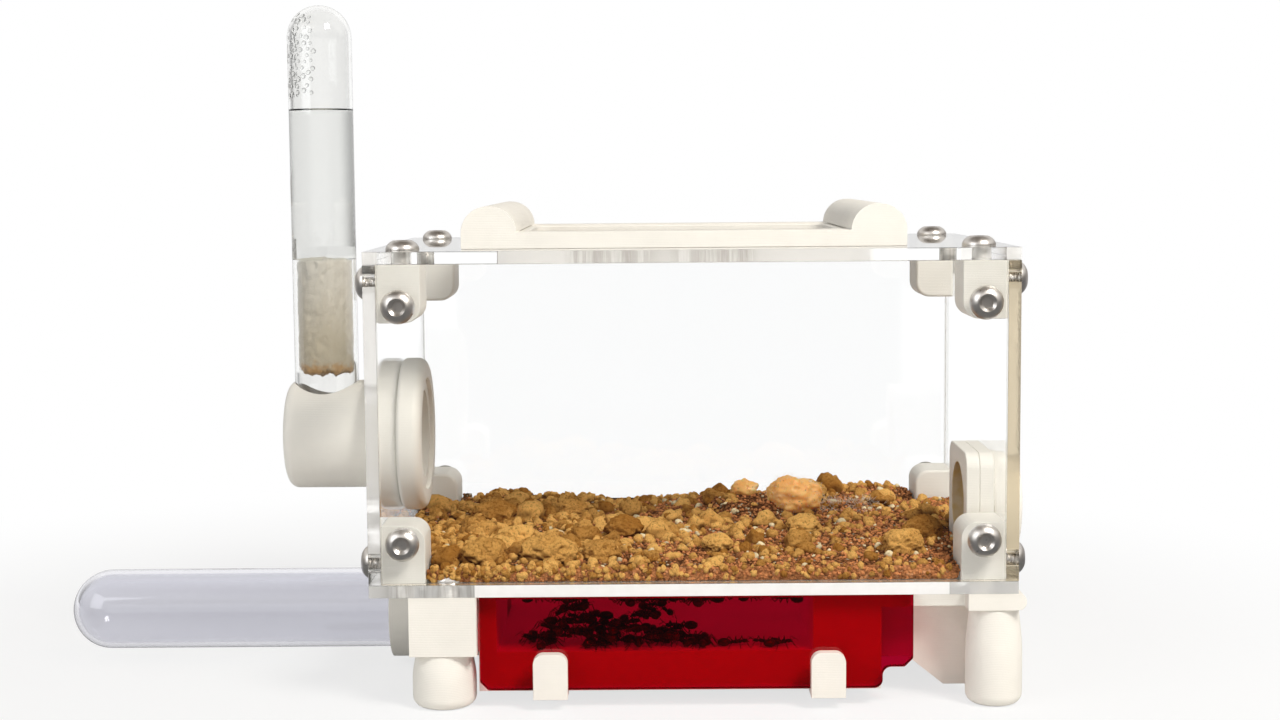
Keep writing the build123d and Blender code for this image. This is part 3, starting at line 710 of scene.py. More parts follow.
def bed_finish(name):
    """The bed itself: ochre at the left, reddish at the right and along the front, with painted
    shade.
    """
    scene = bpy.context.scene
    ochre, red = scene.habitat_colours.ochre, scene.habitat_colours.red_grit
    material, tree, shader = new_finish(name, DRY)
    place = place_of(tree)
    across = axes_of(tree, place)["X"]
    wavy = times_plus(tree, grain(tree, place, 60.0, 3.0), 50.0 * MM, across)
    where = ramp(tree, wavy, SOIL_LOW.x + 50.0 * MM, SOIL_LOW.x + 95.0 * MM)
    # painted shade: the bed's ochre is darkened, for the shade between the crumbs at the left
    base = tone(tree, where, scaled(ochre, 0.45), scaled(red, 0.85))
    inputs = {"Vector": place, "Scale": 1250.0, "Randomness": 1.0}
    cells = node(tree, "ShaderNodeTexVoronoi", inputs)
    lot = node(tree, "ShaderNodeSeparateColor", {0: cells.outputs["Color"]})
    grains = tone(tree, lot.outputs[0], scaled(red, 0.3), base)
    grains = tone(tree, ramp(tree, lot.outputs[1], 0.86, 0.9), grains, (0.62, 0.50, 0.33))
    # painted light along the front face: lighter grains and less dark gaps lift the shade that
    # falls on it
    ahead = ramp(tree, from_front(tree, place), 1.2 * MM, 2.6 * MM, 1.0, 0.0)
    grains = tone(tree, times(tree, ahead, 0.8), grains, scaled(red, 1.15))
    # painted shade in the gaps between the grains
    gap_shade_mask = ramp(tree, cells.outputs["Distance"], 0.34, 0.64, 0.0, 0.85)
    gap_shade = times(tree, gap_shade_mask, times_plus(tree, ahead, -0.7, 1.0))
    feed(shader, "Base Color", tone(tree, gap_shade, grains, (0.06, 0.022, 0.008)))
    relief(tree, shader, minus(tree, 1.0, cells.outputs["Distance"]), 0.8 * MM, 1.0)
    return material


def clod_finish(name):
    """Ochre clods: damp and brown to dry and pale."""
    base = bpy.context.scene.habitat_colours.ochre
    shares = ((0.58, 0.49, 0.32), (1.38, 1.57, 1.7))
    colours = [tuple(min(c * k, 1.0) for c, k in zip(base, share)) for share in shares]
    return crumb_finish(name, colours)


def grit_finish(name):
    """Fine reddish crumbs."""
    base = bpy.context.scene.habitat_colours.red_grit
    return crumb_finish(name, (scaled(base, 0.5), scaled(base, 1.4)))


def pebble_finish(name):
    """Smooth pale stones."""
    base = bpy.context.scene.habitat_colours.pebble
    return crumb_finish(name, (scaled(base, 0.8), scaled(base, 1.2)), 0.05 * MM)


def fruit_finish(name):
    """Soft orange fruit with pale mould and brown specks."""
    values = {"Roughness": 0.5, "Subsurface Weight": 0.45, "Subsurface Scale": 0.004}
    material, tree, shader = new_finish(name, values)
    place = place_of(tree)
    flesh = tone(tree, grain(tree, place, 260.0, 4.0), (1.0, 0.38, 0.06), (1.0, 0.64, 0.24))
    patches = ramp(tree, grain(tree, place, 170.0, 3.0), 0.56, 0.8)
    pale = tone(tree, patches, flesh, (1.0, 0.80, 0.52))
    specks = ramp(tree, grain(tree, place, 1400.0, 2.0), 0.66, 0.72)
    feed(shader, "Base Color", tone(tree, specks, pale, (0.24, 0.09, 0.03)))
    relief(tree, shader, grain(tree, place, 500.0, 4.0), 0.15 * MM, 0.5)
    return material


def mould_finish(name):
    """White mould hairs."""
    material, tree, shader = new_finish(name, {"Roughness": 0.8, "Specular IOR Level": 0.2})
    tint = tone(tree, grain(tree, place_of(tree), 300.0), (0.80, 0.70, 0.58), (0.92, 0.88, 0.82))
    feed(shader, "Base Color", tint)
    let_light_through(tree, shader, (0.6, 0.55, 0.5))
    return material


def ant_finish(name):
    """Dark glossy shell, uneven in tone."""
    base = bpy.context.scene.habitat_colours.ant
    material, tree, shader = new_finish(name, {"Roughness": 0.32, "Specular IOR Level": 0.5})
    place = place_of(tree)
    tint = tone(tree, grain(tree, place, 420.0, 3.0), scaled(base, 0.6), scaled(base, 1.9))
    feed(shader, "Base Color", tint)
    relief(tree, shader, grain(tree, place, 3800.0, 2.0), 0.02 * MM, 0.6)
    return material


MAKERS = {
    "printed_white": printed_finish,
    "printed_lit": glowing_print_finish,
    "printed_soiled": bore_shade_print_finish,
    "clear_acrylic": clear_finish,
    "cut_edges": cut_edge_finish,
    "warm_edges": warm_edge_finish,
    "frosted_edges": frosted_edge_finish,
    "red_acrylic": window_finish,
    "red_edges": red_edge_finish,
    "tube_clear": tube_finish,
    "side_tube_clear": shaded_side_tube_finish,
    "water": water_finish,
    "stainless": steel_finish,
    "mesh_steel": wire_finish,
    "cotton": cotton_finish,
    "soil_bed_mix": bed_finish,
    "ochre_clods": clod_finish,
    "red_grit": grit_finish,
    "cream_pebbles": pebble_finish,
    "fruit": fruit_finish,
    "mould": mould_finish,
    "ants": ant_finish,
}


# ---------------------------------------------------------------- stage


def lamp(name, place, target, size, power, tint):
    """A square soft lamp that looks at a point."""
    data = bpy.data.lights.new(name, "AREA")
    data.energy, data.size, data.color = power, size, tint
    obj = bpy.data.objects.new(name, data)
    way = Vector(target) - Vector(place)
    obj.matrix_world = Matrix.Translation(place) @ way.to_track_quat("-Z", "Y").to_matrix().to_4x4()
    bpy.context.scene.collection.objects.link(obj)


def through_rays(tree, rays, ahead):
    """Of the rays that leave a clear solid: those that one of its faces turned back towards the
    dim front of the room, and the others. Each face crossed or met is one step, so a ray that was
    turned back once has an odd number of them."""
    odd = times(tree, reckon(tree, "MODULO", rays.outputs["Ray Depth"], 2.0), ahead)
    turned = times(tree, rays.outputs["Is Transmission Ray"], odd)
    return turned, minus(tree, rays.outputs["Is Transmission Ray"], turned)


def floor_finish(name):
    """Pale floor that keeps the shadow near the habitat and fades to white further out."""
    values = {"Base Color": (0.80, 0.80, 0.80, 1.0), "Roughness": 0.9}
    material, tree, shader = new_finish(name, values)
    place = place_of(tree)
    away = node(tree, "ShaderNodeVectorMath", {0: place}, operation="LENGTH").outputs["Value"]
    mottle = times_plus(tree, grain(tree, place, 30.0), 0.02, 0.79)
    grey = result(tree, "ShaderNodeCombineColor", {0: mottle, 1: mottle, 2: mottle})
    feed(shader, "Base Color", grey)
    rays = node(tree, "ShaderNodeLightPath")
    kind = rays.outputs
    seen = reckon(tree, "MAXIMUM", kind["Is Camera Ray"], kind["Is Transmission Ray"])
    share = times(tree, seen, ramp(tree, away, 0.12, 0.3, 0.72, 1.0))
    inputs = (kind["Is Glossy Ray"], kind["Is Transmission Ray"])
    mirrored = reckon(tree, "SUBTRACT", *inputs, clamp=True)
    back = axes_of(tree, place)["Y"]
    turned, straight = through_rays(tree, rays, ramp(tree, back, -0.06, 0.0, 1.0, 0.0))
    mirrored = reckon(tree, "MAXIMUM", mirrored, turned)
    darkest = times_plus(tree, kind["Is Singular Ray"], 0.15, 0.80)
    behind = ramp(tree, back, 0.0, 0.3, darkest, 0.5)
    strength = minus(tree, 1.0, times(tree, mirrored, behind))
    strength = times_plus(tree, straight, 0.12, strength)
    white = result(tree, "ShaderNodeEmission", {"Color": WHITE, "Strength": strength})
    share = reckon(tree, "MAXIMUM", share, mirrored)
    both = result(tree, "ShaderNodeMixShader", {0: share, 1: shader.outputs[0], 2: white})
    feed(tree.nodes["Material Output"], "Surface", both)
    return material


def room(strength):
    """World: white behind the habitat, an even room light, and a darker room for the metal and
    the sheets to mirror."""
    world = bpy.data.worlds.new("room")
    world.use_nodes = True
    bpy.context.scene.world = world
    tree = world.node_tree
    tree.nodes.clear()
    rays = node(tree, "ShaderNodeLightPath")
    way = axes_of(tree, node(tree, "ShaderNodeTexCoord").outputs["Generated"])
    low = ramp(tree, way["Z"], 0.14, 0.3, 1.0, 0.0)
    behind = ramp(tree, way["Y"], 0.1, 0.6)
    near = tone(tree, rays.outputs["Is Singular Ray"], (0.25, 0.23, 0.21), (0.20, 0.195, 0.19))
    walls = tone(tree, ramp(tree, way["Z"], 0.12, 0.4), near, (0.95, 0.93, 0.90))
    walls = tone(tree, ramp(tree, way["Z"], 0.6, 0.9), walls, (0.20, 0.17, 0.145))
    far = tone(tree, rays.outputs["Is Singular Ray"], (0.45, 0.43, 0.41), (0.85, 0.85, 0.85))
    mirrored = tone(tree, times(tree, low, behind), walls, far)
    inputs = {"Color": (1.0, 0.975, 0.94, 1.0), "Strength": strength}
    even = result(tree, "ShaderNodeBackground", inputs)
    mirror = result(tree, "ShaderNodeBackground", {"Color": mirrored, "Strength": 1.0})
    aside = ramp(tree, reckon(tree, "ABSOLUTE", way["X"]), 0.38, 0.85, 0.12, -0.6)
    bright = times_plus(tree, rays.outputs["Is Transmission Ray"], aside, 1.0)
    white = result(tree, "ShaderNodeBackground", {"Color": WHITE, "Strength": bright})
    inputs = {0: rays.outputs["Is Glossy Ray"], 1: even, 2: mirror}
    glossy = result(tree, "ShaderNodeMixShader", inputs)
    straight = through_rays(tree, rays, ramp(tree, way["Y"], -0.2, 0.0, 1.0, 0.0))[1]
    seen = reckon(tree, "MAXIMUM", rays.outputs["Is Camera Ray"], straight)
    both = result(tree, "ShaderNodeMixShader", {0: seen, 1: glossy, 2: white})
    node(tree, "ShaderNodeOutputWorld", {"Surface": both})


class HABITAT_OT_stage(bpy.types.Operator):
    """Sets the camera, the lamps, the room and the floor."""

    bl_idname = "habitat.stage"
    bl_label = "Stage"

    def execute(self, context):
        choices = context.scene.habitat_stage
        turn, dip, roll = choices.camera_turn, choices.camera_dip, choices.camera_roll
        ahead = Vector((sin(turn) * cos(dip), cos(turn) * cos(dip), -sin(dip)))
        level = Vector((cos(turn), -sin(turn), 0.0))
        upright = level.cross(ahead)
        right = level * cos(roll) + upright * sin(roll)
        up = upright * cos(roll) - level * sin(roll)
        data = bpy.data.cameras.new("camera")
        data.lens, data.sensor_width = choices.lens, SENSOR
        data.clip_start, data.clip_end = NEAREST, FARTHEST
        camera = bpy.data.objects.new("camera", data)
        turned = Matrix((right, up, -ahead)).transposed().to_4x4()
        camera.matrix_world = Matrix.Translation(choices.camera_place) @ turned
        context.scene.collection.objects.link(camera)
        context.scene.camera = camera

        middle = (BOX_X, 0.0, 60.0 * MM)
        lamp("key_lamp", (0.50, -0.55, 0.78), middle, 0.32, choices.key, (1.0, 0.965, 0.91))
        lamp("fill_lamp", (-0.65, -0.60, 0.45), middle, 0.60, choices.fill, (0.94, 0.97, 1.0))
        room(choices.sky)

        bm = bmesh.new()
        bmesh.ops.create_circle(bm, cap_ends=True, segments=64, radius=FLOOR_RADIUS)
        floor = new_piece("floor", mesh_from("floor", bm))
        floor.data.materials.append(floor_finish("pale_floor"))

        context.scene.view_settings.view_transform = "Standard"
        return {"FINISHED"}


# ---------------------------------------------------------------- pieces


CLEAR, CUT, FROSTED = range(3)
SIDE_ZONES = ((-50.0, CLEAR), (-29.5, CUT), (32.0, CLEAR))
# of each sheet: the axis it is thin along, and the finishes along its long edges, each with the
# place where it starts, in millimetres from the middle
SHEETS = {
    "floor_panel": (2, ((-75.0, CUT), (-50.5, FROSTED), (59.0, CUT))),
    "roof_panel": (2, ((-75.0, CUT), (-71.5, CLEAR), (-44.0, CUT), (49.0, CLEAR), (71.5, CUT))),
    "front_panel": (1, ((-50.0, CUT),)),
    "back_panel": (1, ((-50.0, CUT),)),
    "left_panel": (0, SIDE_ZONES),
    "right_panel": (0, SIDE_ZONES),
}


class HABITAT_OT_sheets(bpy.types.Operator):
    """Makes the six clear sheets of the foraging box."""

    bl_idname = "habitat.sheets"
    bl_label = "Clear sheets"

    def execute(self, context):
        edge = context.scene.habitat_sizes.sheet_edge
        for name, (thin, zones) in SHEETS.items():
            low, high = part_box(name)
            along = 0 if thin == 2 else 2
            middle = (low[along] + high[along]) / 2
            cuts = [middle + start * MM for start, _ in zones[1:]]
            title = name.replace("panel", "sheet")
            sheet = broken_edges(name, title, edge, SHEET_AIR, cuts=cuts, along=along)

            def choose(face):
                if abs(face.normal[thin]) >= 0.5:
                    return CLEAR
                here = [kind for start, kind in zones if face.center[along] > middle + start * MM]
                outer = abs(face.normal.y) > 0.5 and abs(face.center.y) > 45.0 * MM
                return here[-1] if here and outer else CUT

            cut = "cut_edges" if thin == 2 or name == "left_panel" else "warm_edges"
            paint(sheet, ("clear_acrylic", cut, "frosted_edges"), choose)
            dress(sheet, None, "habitat", (name,))
        return {"FINISHED"}


class HABITAT_OT_brackets(bpy.types.Operator):
    """Makes the printed corner brackets."""

    bl_idname = "habitat.brackets"
    bl_label = "Corner brackets"

    def execute(self, context):
        names = [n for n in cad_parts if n.startswith("bracket_")]
        if len(names) != 8:
            raise RuntimeError("the part should have eight corner brackets")
        for name in names:
            printed(name, name.replace("bracket", "corner"))
        return {"FINISHED"}


class HABITAT_OT_nest(bpy.types.Operator):
    """Makes the printed nest block, its feet and the collar of its entry."""

    bl_idname = "habitat.nest"
    bl_label = "Nest block and feet"

    def execute(self, context):
        block = broken_edges("nest_body", "nest_block", context.scene.habitat_sizes.printed_edge)
        low = (BOX_X - 46.3 * MM, -43.6 * MM, 12.8 * MM)
        high = (BOX_X + 28.3 * MM, 36.3 * MM, 25.7 * MM)

        def in_chamber(face):
            return int(all(low[i] < face.center[i] < high[i] for i in range(3)))

        # the chamber's faces take the plastic with the painted glow
        paint(block, ("printed_white", "printed_lit"), in_chamber)
        dress(block, None, "habitat", ("nest_body",))
        printed("entry_collar", "nest_entry_collar")
        for name in [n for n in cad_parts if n.startswith("foot_")]:
            printed(name, "printed_" + name)
        return {"FINISHED"}


class HABITAT_OT_window(bpy.types.Operator):
    """Makes the red sliding window of the nest."""

    bl_idname = "habitat.window"
    bl_label = "Red window"

    def execute(self, context):
        pane = broken_edges("red_window", "red_pane", 0.3 * MM, WINDOW_AIR)
        paint(pane, ("red_acrylic", "red_edges"), lambda face: int(abs(face.normal.y) <= 0.9))
        dress(pane, None, "window", ("red_window",))
        return {"FINISHED"}


class HABITAT_OT_lid(bpy.types.Operator):
    """Makes the printed lid and its mesh clamp."""

    bl_idname = "habitat.lid"
    bl_label = "Lid"

    def execute(self, context):
        printed("lid_frame", "lid_plate", "lid")
        printed("mesh_clamp", "mesh_clamp_ring", "lid")
        return {"FINISHED"}


def weave_tree():
    """Wires in two directions, each passing over and under the other."""
    sizes = {"Wires across": 10, "Wires along": 10, "Pitch": 1.4 * MM, "Wire radius": 0.12 * MM}
    tree, given = start_tree("woven_wire", sizes)
    pitch, radius = given["Pitch"], given["Wire radius"]
    ways = (
        ("x", "y", "Wires across", "Wires along", 1.0),
        ("y", "x", "Wires along", "Wires across", -1.0),
    )
    layers = []
    for along, aside, count, crossed, sign in ways:
        ends = times(tree, times(tree, pitch, given[crossed]), 0.5)
        first = times(tree, times(tree, minus(tree, given[count], 1.0), pitch), -0.5)
        start = vector_of(tree, **{along: times(tree, ends, -1.0)})
        inputs = {"Start": start, "End": vector_of(tree, **{along: ends})}
        origin = vector_of(tree, **{aside: first})
        step = vector_of(tree, **{aside: pitch})
        line = result(tree, "GeometryNodeCurvePrimitiveLine", inputs)
        points = plus(tree, times(tree, given[crossed], 2.0), 1.0)
        line = result(tree, "GeometryNodeResampleCurve", {"Curve": line, "Count": points})
        inputs = {"Count": given[count], "Start Location": origin, "Offset": step}
        row = result(tree, "GeometryNodeMeshLine", inputs)
        wires = realized(tree, on_points(tree, row, line))
        spot = axes_of(tree, result(tree, "GeometryNodeInputPosition"))
        waves = []
        for axis, number in (("X", "Wires along"), ("Y", "Wires across")):
            reach = times(tree, minus(tree, given[number], 1.0), times(tree, pitch, 0.5))
            turns = divided(tree, minus(tree, spot[axis], reach), pitch)
            waves.append(reckon(tree, "COSINE", times(tree, turns, pi)))
        lift = times(tree, times(tree, *waves), times(tree, radius, sign))
        wires = moved_to(tree, wires, offset=vector_of(tree, z=lift))
        inputs = {"Resolution": 5, "Radius": radius}
        section = result(tree, "GeometryNodeCurvePrimitiveCircle", inputs)
        inputs = {"Curve": wires, "Profile Curve": section, "Fill Caps": True}
        layers.append(result(tree, "GeometryNodeCurveToMesh", inputs))
    return end_tree(tree, smoothed(tree, joined(tree, *layers)), given["Material"])


class HABITAT_OT_vent(bpy.types.Operator):
    """Weaves the steel mesh of the lid."""

    bl_idname = "habitat.vent"
    bl_label = "Vent mesh"

    def execute(self, context):
        sizes = context.scene.habitat_sizes
        pitch, radius = sizes.wire_pitch, sizes.wire_radius
        margin = 0.6 * MM
        along, across = (int((MESH_HIGH[i] - MESH_LOW[i] - 2 * margin) / pitch) for i in range(2))
        cloth = new_piece("vent_weave", bpy.data.meshes.new("vent_weave"))
        values = {
            "Wires across": across, "Wires along": along, "Pitch": pitch, "Wire radius": radius,
            "Material": finish("mesh_steel"),
        }
        run_tree(cloth, weave_tree(), values)
        cloth.data.transform(Matrix.Translation((MESH_LOW + MESH_HIGH) / 2))
        dress(cloth, None, "lid", ("vent_mesh",))
        return {"FINISHED"}


class HABITAT_OT_feeder(bpy.types.Operator):
    """Makes the printed elbow of the feeder and the ring nut that holds it."""

    bl_idname = "habitat.feeder"
    bl_label = "Feeder"

    def execute(self, context):
        printed("feeder_elbow", "feeder_body", "feeder")
        printed("feeder_nut", "feeder_ring_nut", "feeder", 0.2 * MM)
        return {"FINISHED"}


def fluffed(bm, wave, depth, fray):
    """Roughens a plug of cotton: shallow on its sides, deeper at both ends."""
    centre = (TUBE_LOW + TUBE_HIGH) / 2
    low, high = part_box("cotton_plug")
    for v in bm.verts:
        out = Vector((v.co.x - centre.x, v.co.y - centre.y, 0.0))
        place = v.co * wave
        rough = noise.noise(place) * 0.5 + noise.noise(place * 0.4) * 0.6
        rough += noise.noise(place * 2.7) * 0.3
        if out.length > 1e-6:
            v.co -= out.normalized() * min(abs(rough) * depth * 1.6, out.length * 0.3)
        upper = v.co.z > (low.z + high.z) / 2
        end = high.z if upper else low.z
        near = exp(-((end - v.co.z) / (2.2 * MM)) ** 2)
        v.co.z += near * rough * (fray * 0.5 if upper else fray)


class HABITAT_OT_water_tube(bpy.types.Operator):
    """Makes the water tube with its water and its cotton."""

    bl_idname = "habitat.water_tube"
    bl_label = "Water tube"

    def execute(self, context):
        axis = (TUBE_LOW + TUBE_HIGH) / 2
        outer = (TUBE_HIGH.y - TUBE_LOW.y) / 2
        crown = (axis.x, axis.y, TUBE_HIGH.z)
        long = TUBE_HIGH.z - TUBE_LOW.z
        mesh = test_tube("water_tube_wall", crown, (0, 0, -1), long, outer, TUBE_WALL)
        tube = new_piece("water_tube_wall", mesh)
        dress(tube, "tube_clear", "filled_water_tube", ("water_tube",))

        low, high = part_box("water")
        deep = high.z - low.z
        fill = outer - TUBE_WALL + WATER_OVERLAP
        outline = [(0.1 * MM, 0.0), (0.1 * MM, fill * 0.5), (0.0, fill * 0.9), (0.0, fill)]
        outline += [(deep * share, fill) for share in (0.25, 0.5, 0.75)]
        # the water climbs the wall a little
        climb = ((0.55, 0.0), (0.2, 0.45), (0.05, 1.1), (0.0, 2.2))
        outline += [(deep + up * MM, fill - inwards * MM) for up, inwards in climb]
        outline += [(deep, fill * 0.4), (deep, 0.0)]
        bm = lathe(outline, (axis.x, axis.y, low.z), (0, 0, 1))
        column = new_piece("water_column", mesh_from("water_column", bm, 50.0))
        dress(column, "water", "filled_water_tube", ("water",))

        low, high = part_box("cotton_plug")
        tall = high.z - low.z
        girth = outer - TUBE_WALL - COTTON_AIR
        shares = (0.2, 0.4, 0.6, 0.8, 0.95)
        outline = [(0.4 * MM, 0.0)] + [(0.4 * MM * (1 - s), girth * s) for s in shares]
        outline += [(tall * i / 48, girth) for i in range(1, 48)]
        outline += [(tall, girth * s) for s in reversed(shares)] + [(tall, 0.0)]
        bm = lathe(outline, (axis.x, axis.y, low.z), (0, 0, 1), 120)
        fluffed(bm, 520.0, 0.6 * MM, 2.6 * MM)
        wad = new_piece("cotton_wad", mesh_from("cotton_wad", bm, 180.0))
        dress(wad, "cotton", "filled_water_tube", ("cotton_plug",))
        return {"FINISHED"}


class HABITAT_OT_side_tube(bpy.types.Operator):
    """Makes the tube at the side of the nest."""

    bl_idname = "habitat.side_tube"
    bl_label = "Side tube"

    def execute(self, context):
        foot = (SIDE_LOW.x, (SIDE_LOW.y + SIDE_HIGH.y) / 2, (SIDE_LOW.z + SIDE_HIGH.z) / 2)
        long, outer = SIDE_HIGH.x - SIDE_LOW.x, (SIDE_HIGH.y - SIDE_LOW.y) / 2
        mesh = test_tube("side_tube_wall", foot, (1, 0, 0), long, outer, SIDE_WALL)
        tube = new_piece("side_tube_wall", mesh)
        dress(tube, "side_tube_clear", "nest_tube", ("side_tube",))
        return {"FINISHED"}


class HABITAT_OT_port(bpy.types.Operator):
    """Makes the printed port in the right side and its stopper."""

    bl_idname = "habitat.port"
    bl_label = "Port"

    def execute(self, context):
        low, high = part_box("port_plug")
        centre = (low + high) / 2
        edge = context.scene.habitat_sizes.printed_edge
        pieces = (
            ("port_collar", "port_outer_collar", edge, "habitat"),
            ("port_plate", "port_inner_plate", edge, "habitat"),
            ("port_plug", "port_stopper_plug", 0.25 * MM, "port_stopper"),
        )
        for source, name, rounding, body in pieces:

            # faces of the bore and the stopper's inner end take the painted shade
            def in_shaded_bore(face):
                out = Vector((0.0, face.center.y - centre.y, face.center.z - centre.z))
                bore = face.normal.dot(out) < -0.7 * out.length
                end = face.normal.x < -0.7 and face.center.x < low.x + 0.5 * MM
                return int(bore or source == "port_plug" and end)

            piece = broken_edges(source, name, rounding)
            paint(piece, ("printed_white", "printed_soiled"), in_shaded_bore)
            dress(piece, None, body, (source,))
        return {"FINISHED"}


def screw_tree(countersunk):
    """Hex socket screws on points: a head with its socket, and a threaded shank along each
    point's facing."""
    sizes = {
        "Head radius": (3.8 if countersunk else 3.95) * MM, "Head height": HEAD_TALL,
        "Socket width": 2.5 * MM, "Socket depth": 1.4 * MM, "Shank radius": 2.0 * MM,
        "Thread pitch": 0.7 * MM, "Thread depth": 0.35 * MM, "Length": 10.0 * MM, "Seed": 3,
    }
    tree, given = start_tree("countersunk_screws" if countersunk else "button_head_screws", sizes)

    def shaped(mesh, factor):
        """Scales a unit cylinder sideways by a factor that follows its height."""
        spot = axes_of(tree, result(tree, "GeometryNodeInputPosition"))
        x, y, z = (spot[axis] for axis in "XYZ")
        share = factor(x, y, z)
        moved = vector_of(tree, x=times(tree, x, share), y=times(tree, y, share), z=z)
        return moved_to(tree, mesh, position=moved)

    def drum(sides, steps, radius, deep, middle):
        """A closed cylinder along Z whose middle is at a height."""
        inputs = {"Vertices": sides, "Side Segments": steps, "Radius": radius, "Depth": deep}
        mesh = result(tree, "GeometryNodeMeshCylinder", inputs)
        return lifted(tree, mesh, vector_of(tree, z=middle))

    def cone(x, y, z):
        return plus(tree, wide, z)

    def dome(x, y, z):
        up = times(tree, divided(tree, z, tall), 0.84)
        inwards = minus(tree, 1.0, times(tree, up, up))
        return times(tree, wide, reckon(tree, "SQRT", inwards))

    def thread(x, y, z):
        around = divided(tree, reckon(tree, "ARCTAN2", y, x), 2 * pi)
        turns = plus(tree, divided(tree, z, given["Thread pitch"]), around)
        phase = reckon(tree, "FRACT", turns)
        ridge = reckon(tree, "ABSOLUTE", minus(tree, times(tree, phase, 2.0), 1.0))
        worn = minus(tree, shank, times(tree, given["Thread depth"], ridge))
        tip = ramp(tree, plus(tree, z, long), 0.0, 0.8 * MM, 0.78, 1.0, False)
        return times(tree, worn, tip)

    tall, wide, shank = given["Head height"], given["Head radius"], given["Shank radius"]
    half = times(tree, tall, 0.5)
    if countersunk:
        head = shaped(drum(40, 4, 1.0, tall, times(tree, half, -1.0)), cone)
        top = 0.0
    else:
        head = shaped(drum(40, 12, 1.0, tall, half), dome)
        top = tall
    across = divided(tree, given["Socket width"], sqrt(3.0))
    deep = times(tree, given["Socket depth"], 2.0)
    inputs = {"Mesh 1": head, "Mesh 2": drum(6, 1, across, deep, top)}
    carve = {"operation": "DIFFERENCE", "solver": "EXACT"}
    carved = node(tree, "GeometryNodeMeshBoolean", inputs, **carve)
    if not countersunk:
        inputs = {
            "Vertices": 40, "Radius Top": 2.2 * MM, "Radius Bottom": 1.3 * MM, "Depth": 0.75 * MM
        }
        lead = result(tree, "GeometryNodeMeshCone", inputs)
        lead = lifted(tree, lead, vector_of(tree, z=minus(tree, top, 0.6 * MM)))
        tree.links.new(lead, carved.inputs["Mesh 2"])

    long = given["Length"]
    body = shaped(drum(20, 64, 1.0, long, times(tree, long, -0.5)), thread)
    whole = soft_edges(tree, joined(tree, carved.outputs[0], body), 38.0)
    aimed = aligned(tree, attribute_of(tree, "facing", "FLOAT_VECTOR"))
    inputs = {"Axis": (0, 0, 1), "Angle": spread(tree, 0.0, 2 * pi, given["Seed"])}
    twist = result(tree, "FunctionNodeAxisAngleToRotation", inputs)
    inputs = {"Rotation": aimed, "Rotate By": twist}
    aimed = result(tree, "FunctionNodeRotateRotation", inputs, rotation_space="LOCAL")
    screws = on_points(tree, given["Geometry"], whole, rotation=aimed)
    return end_tree(tree, screws, given["Material"])


def screw_spots(name, facing):
    """Where the heads of a group of screws sit, from the group's box."""
    low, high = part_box(name)
    spots = set()
    for x in (low.x + HEAD_INSET, high.x - HEAD_INSET):
        for y in (low.y + HEAD_INSET, high.y - HEAD_INSET):
            for z in (low.z + HEAD_INSET, high.z - HEAD_INSET):
                if facing[0]:
                    spots.add((low.x + HEAD_TALL if facing[0] < 0 else high.x - HEAD_TALL, y, z))
                elif facing[1]:
                    spots.add((x, low.y + HEAD_TALL if facing[1] < 0 else high.y - HEAD_TALL, z))
                else:
                    # the nest's screws stand closer together at the right
                    closer = 10.5 * MM if name == "nest_screws" and x > BOX_X else 0.0
                    place = y - closer if y > 0 else y + closer
                    spots.add((x, place, low.z if facing[2] < 0 else high.z - HEAD_TALL))
    return sorted(spots)


# of each group of screws: the way it faces, its length in millimetres and the seed of its turns
SCREWS = {
    "front_screws": ((0, -1, 0), 10.0, 3),
    "back_screws": ((0, 1, 0), 10.0, 5),
    "left_screws": ((-1, 0, 0), 10.0, 6),
    "right_screws": ((1, 0, 0), 10.0, 8),
    "roof_screws": ((0, 0, 1), 10.0, 11),
    "floor_screws": ((0, 0, -1), 10.0, 2),
    "nest_screws": ((0, 0, 1), 12.0, 4),
}


class HABITAT_OT_screws(bpy.types.Operator):
    """Makes every screw of the box and the nest."""

    bl_idname = "habitat.screws"
    bl_label = "Screws"

    def execute(self, context):
        pitch = context.scene.habitat_sizes.thread_pitch
        button, flush = screw_tree(False), screw_tree(True)
        for name, (facing, long, seed) in SCREWS.items():
            mesh = bpy.data.meshes.new(name)
            mesh.from_pydata(screw_spots(name, facing), [], [])
            aim = mesh.attributes.new("facing", "FLOAT_VECTOR", "POINT")
            aim.data.foreach_set("vector", [c for _ in mesh.vertices for c in facing])
            screws = new_piece(name.replace("screws", "hex_screws"), mesh)
            values = {"Length": long * MM, "Seed": seed, "Thread pitch": pitch}
            values["Material"] = finish("stainless")
            if name == "floor_screws":
                values["Head height"] = FLUSH_TALL
            run_tree(screws, flush if name == "floor_screws" else button, values)
            dress(screws, None, "habitat", (name,))
        return {"FINISHED"}


def soil_height(x, y):
    """Height of the bed above the plain slope of the part at a place, in metres."""
    spot = Vector((x, y, 0.37))
    fine = noise.noise(spot * 45.0) * 0.8 + noise.noise(spot * 110.0) * 0.6
    fine += noise.noise(spot * 320.0) * 0.35 + noise.noise(spot * 800.0) * 0.16
    across = (x - BOX_X) / MM
    back = min(max(y / (45.0 * MM), 0.0), 1.0)
    dip = -2.3 * exp(-(((across + 18.0) / 20.0) ** 2)) + 1.3 * exp(-(((across - 50.0) / 13.0) ** 2))
    front = -1.3 * exp(-(((y - SOIL_LOW.y) / (6.0 * MM)) ** 2))
    collar = (ENTRY_LOW + ENTRY_HIGH) / 2
    away = hypot(x - collar.x, y - collar.y) / MM
    ring = 3.3 * exp(-(((away - 11.0) / 2.6) ** 2)) * (1.0 if y < collar.y else 0.5)
    return (fine + dip * back + front + ring) * MM


def end_smooth(tree, instances, material):
    """Closes a tree with its instances as one smooth mesh."""
    return end_tree(tree, smoothed(tree, realized(tree, instances)), material)


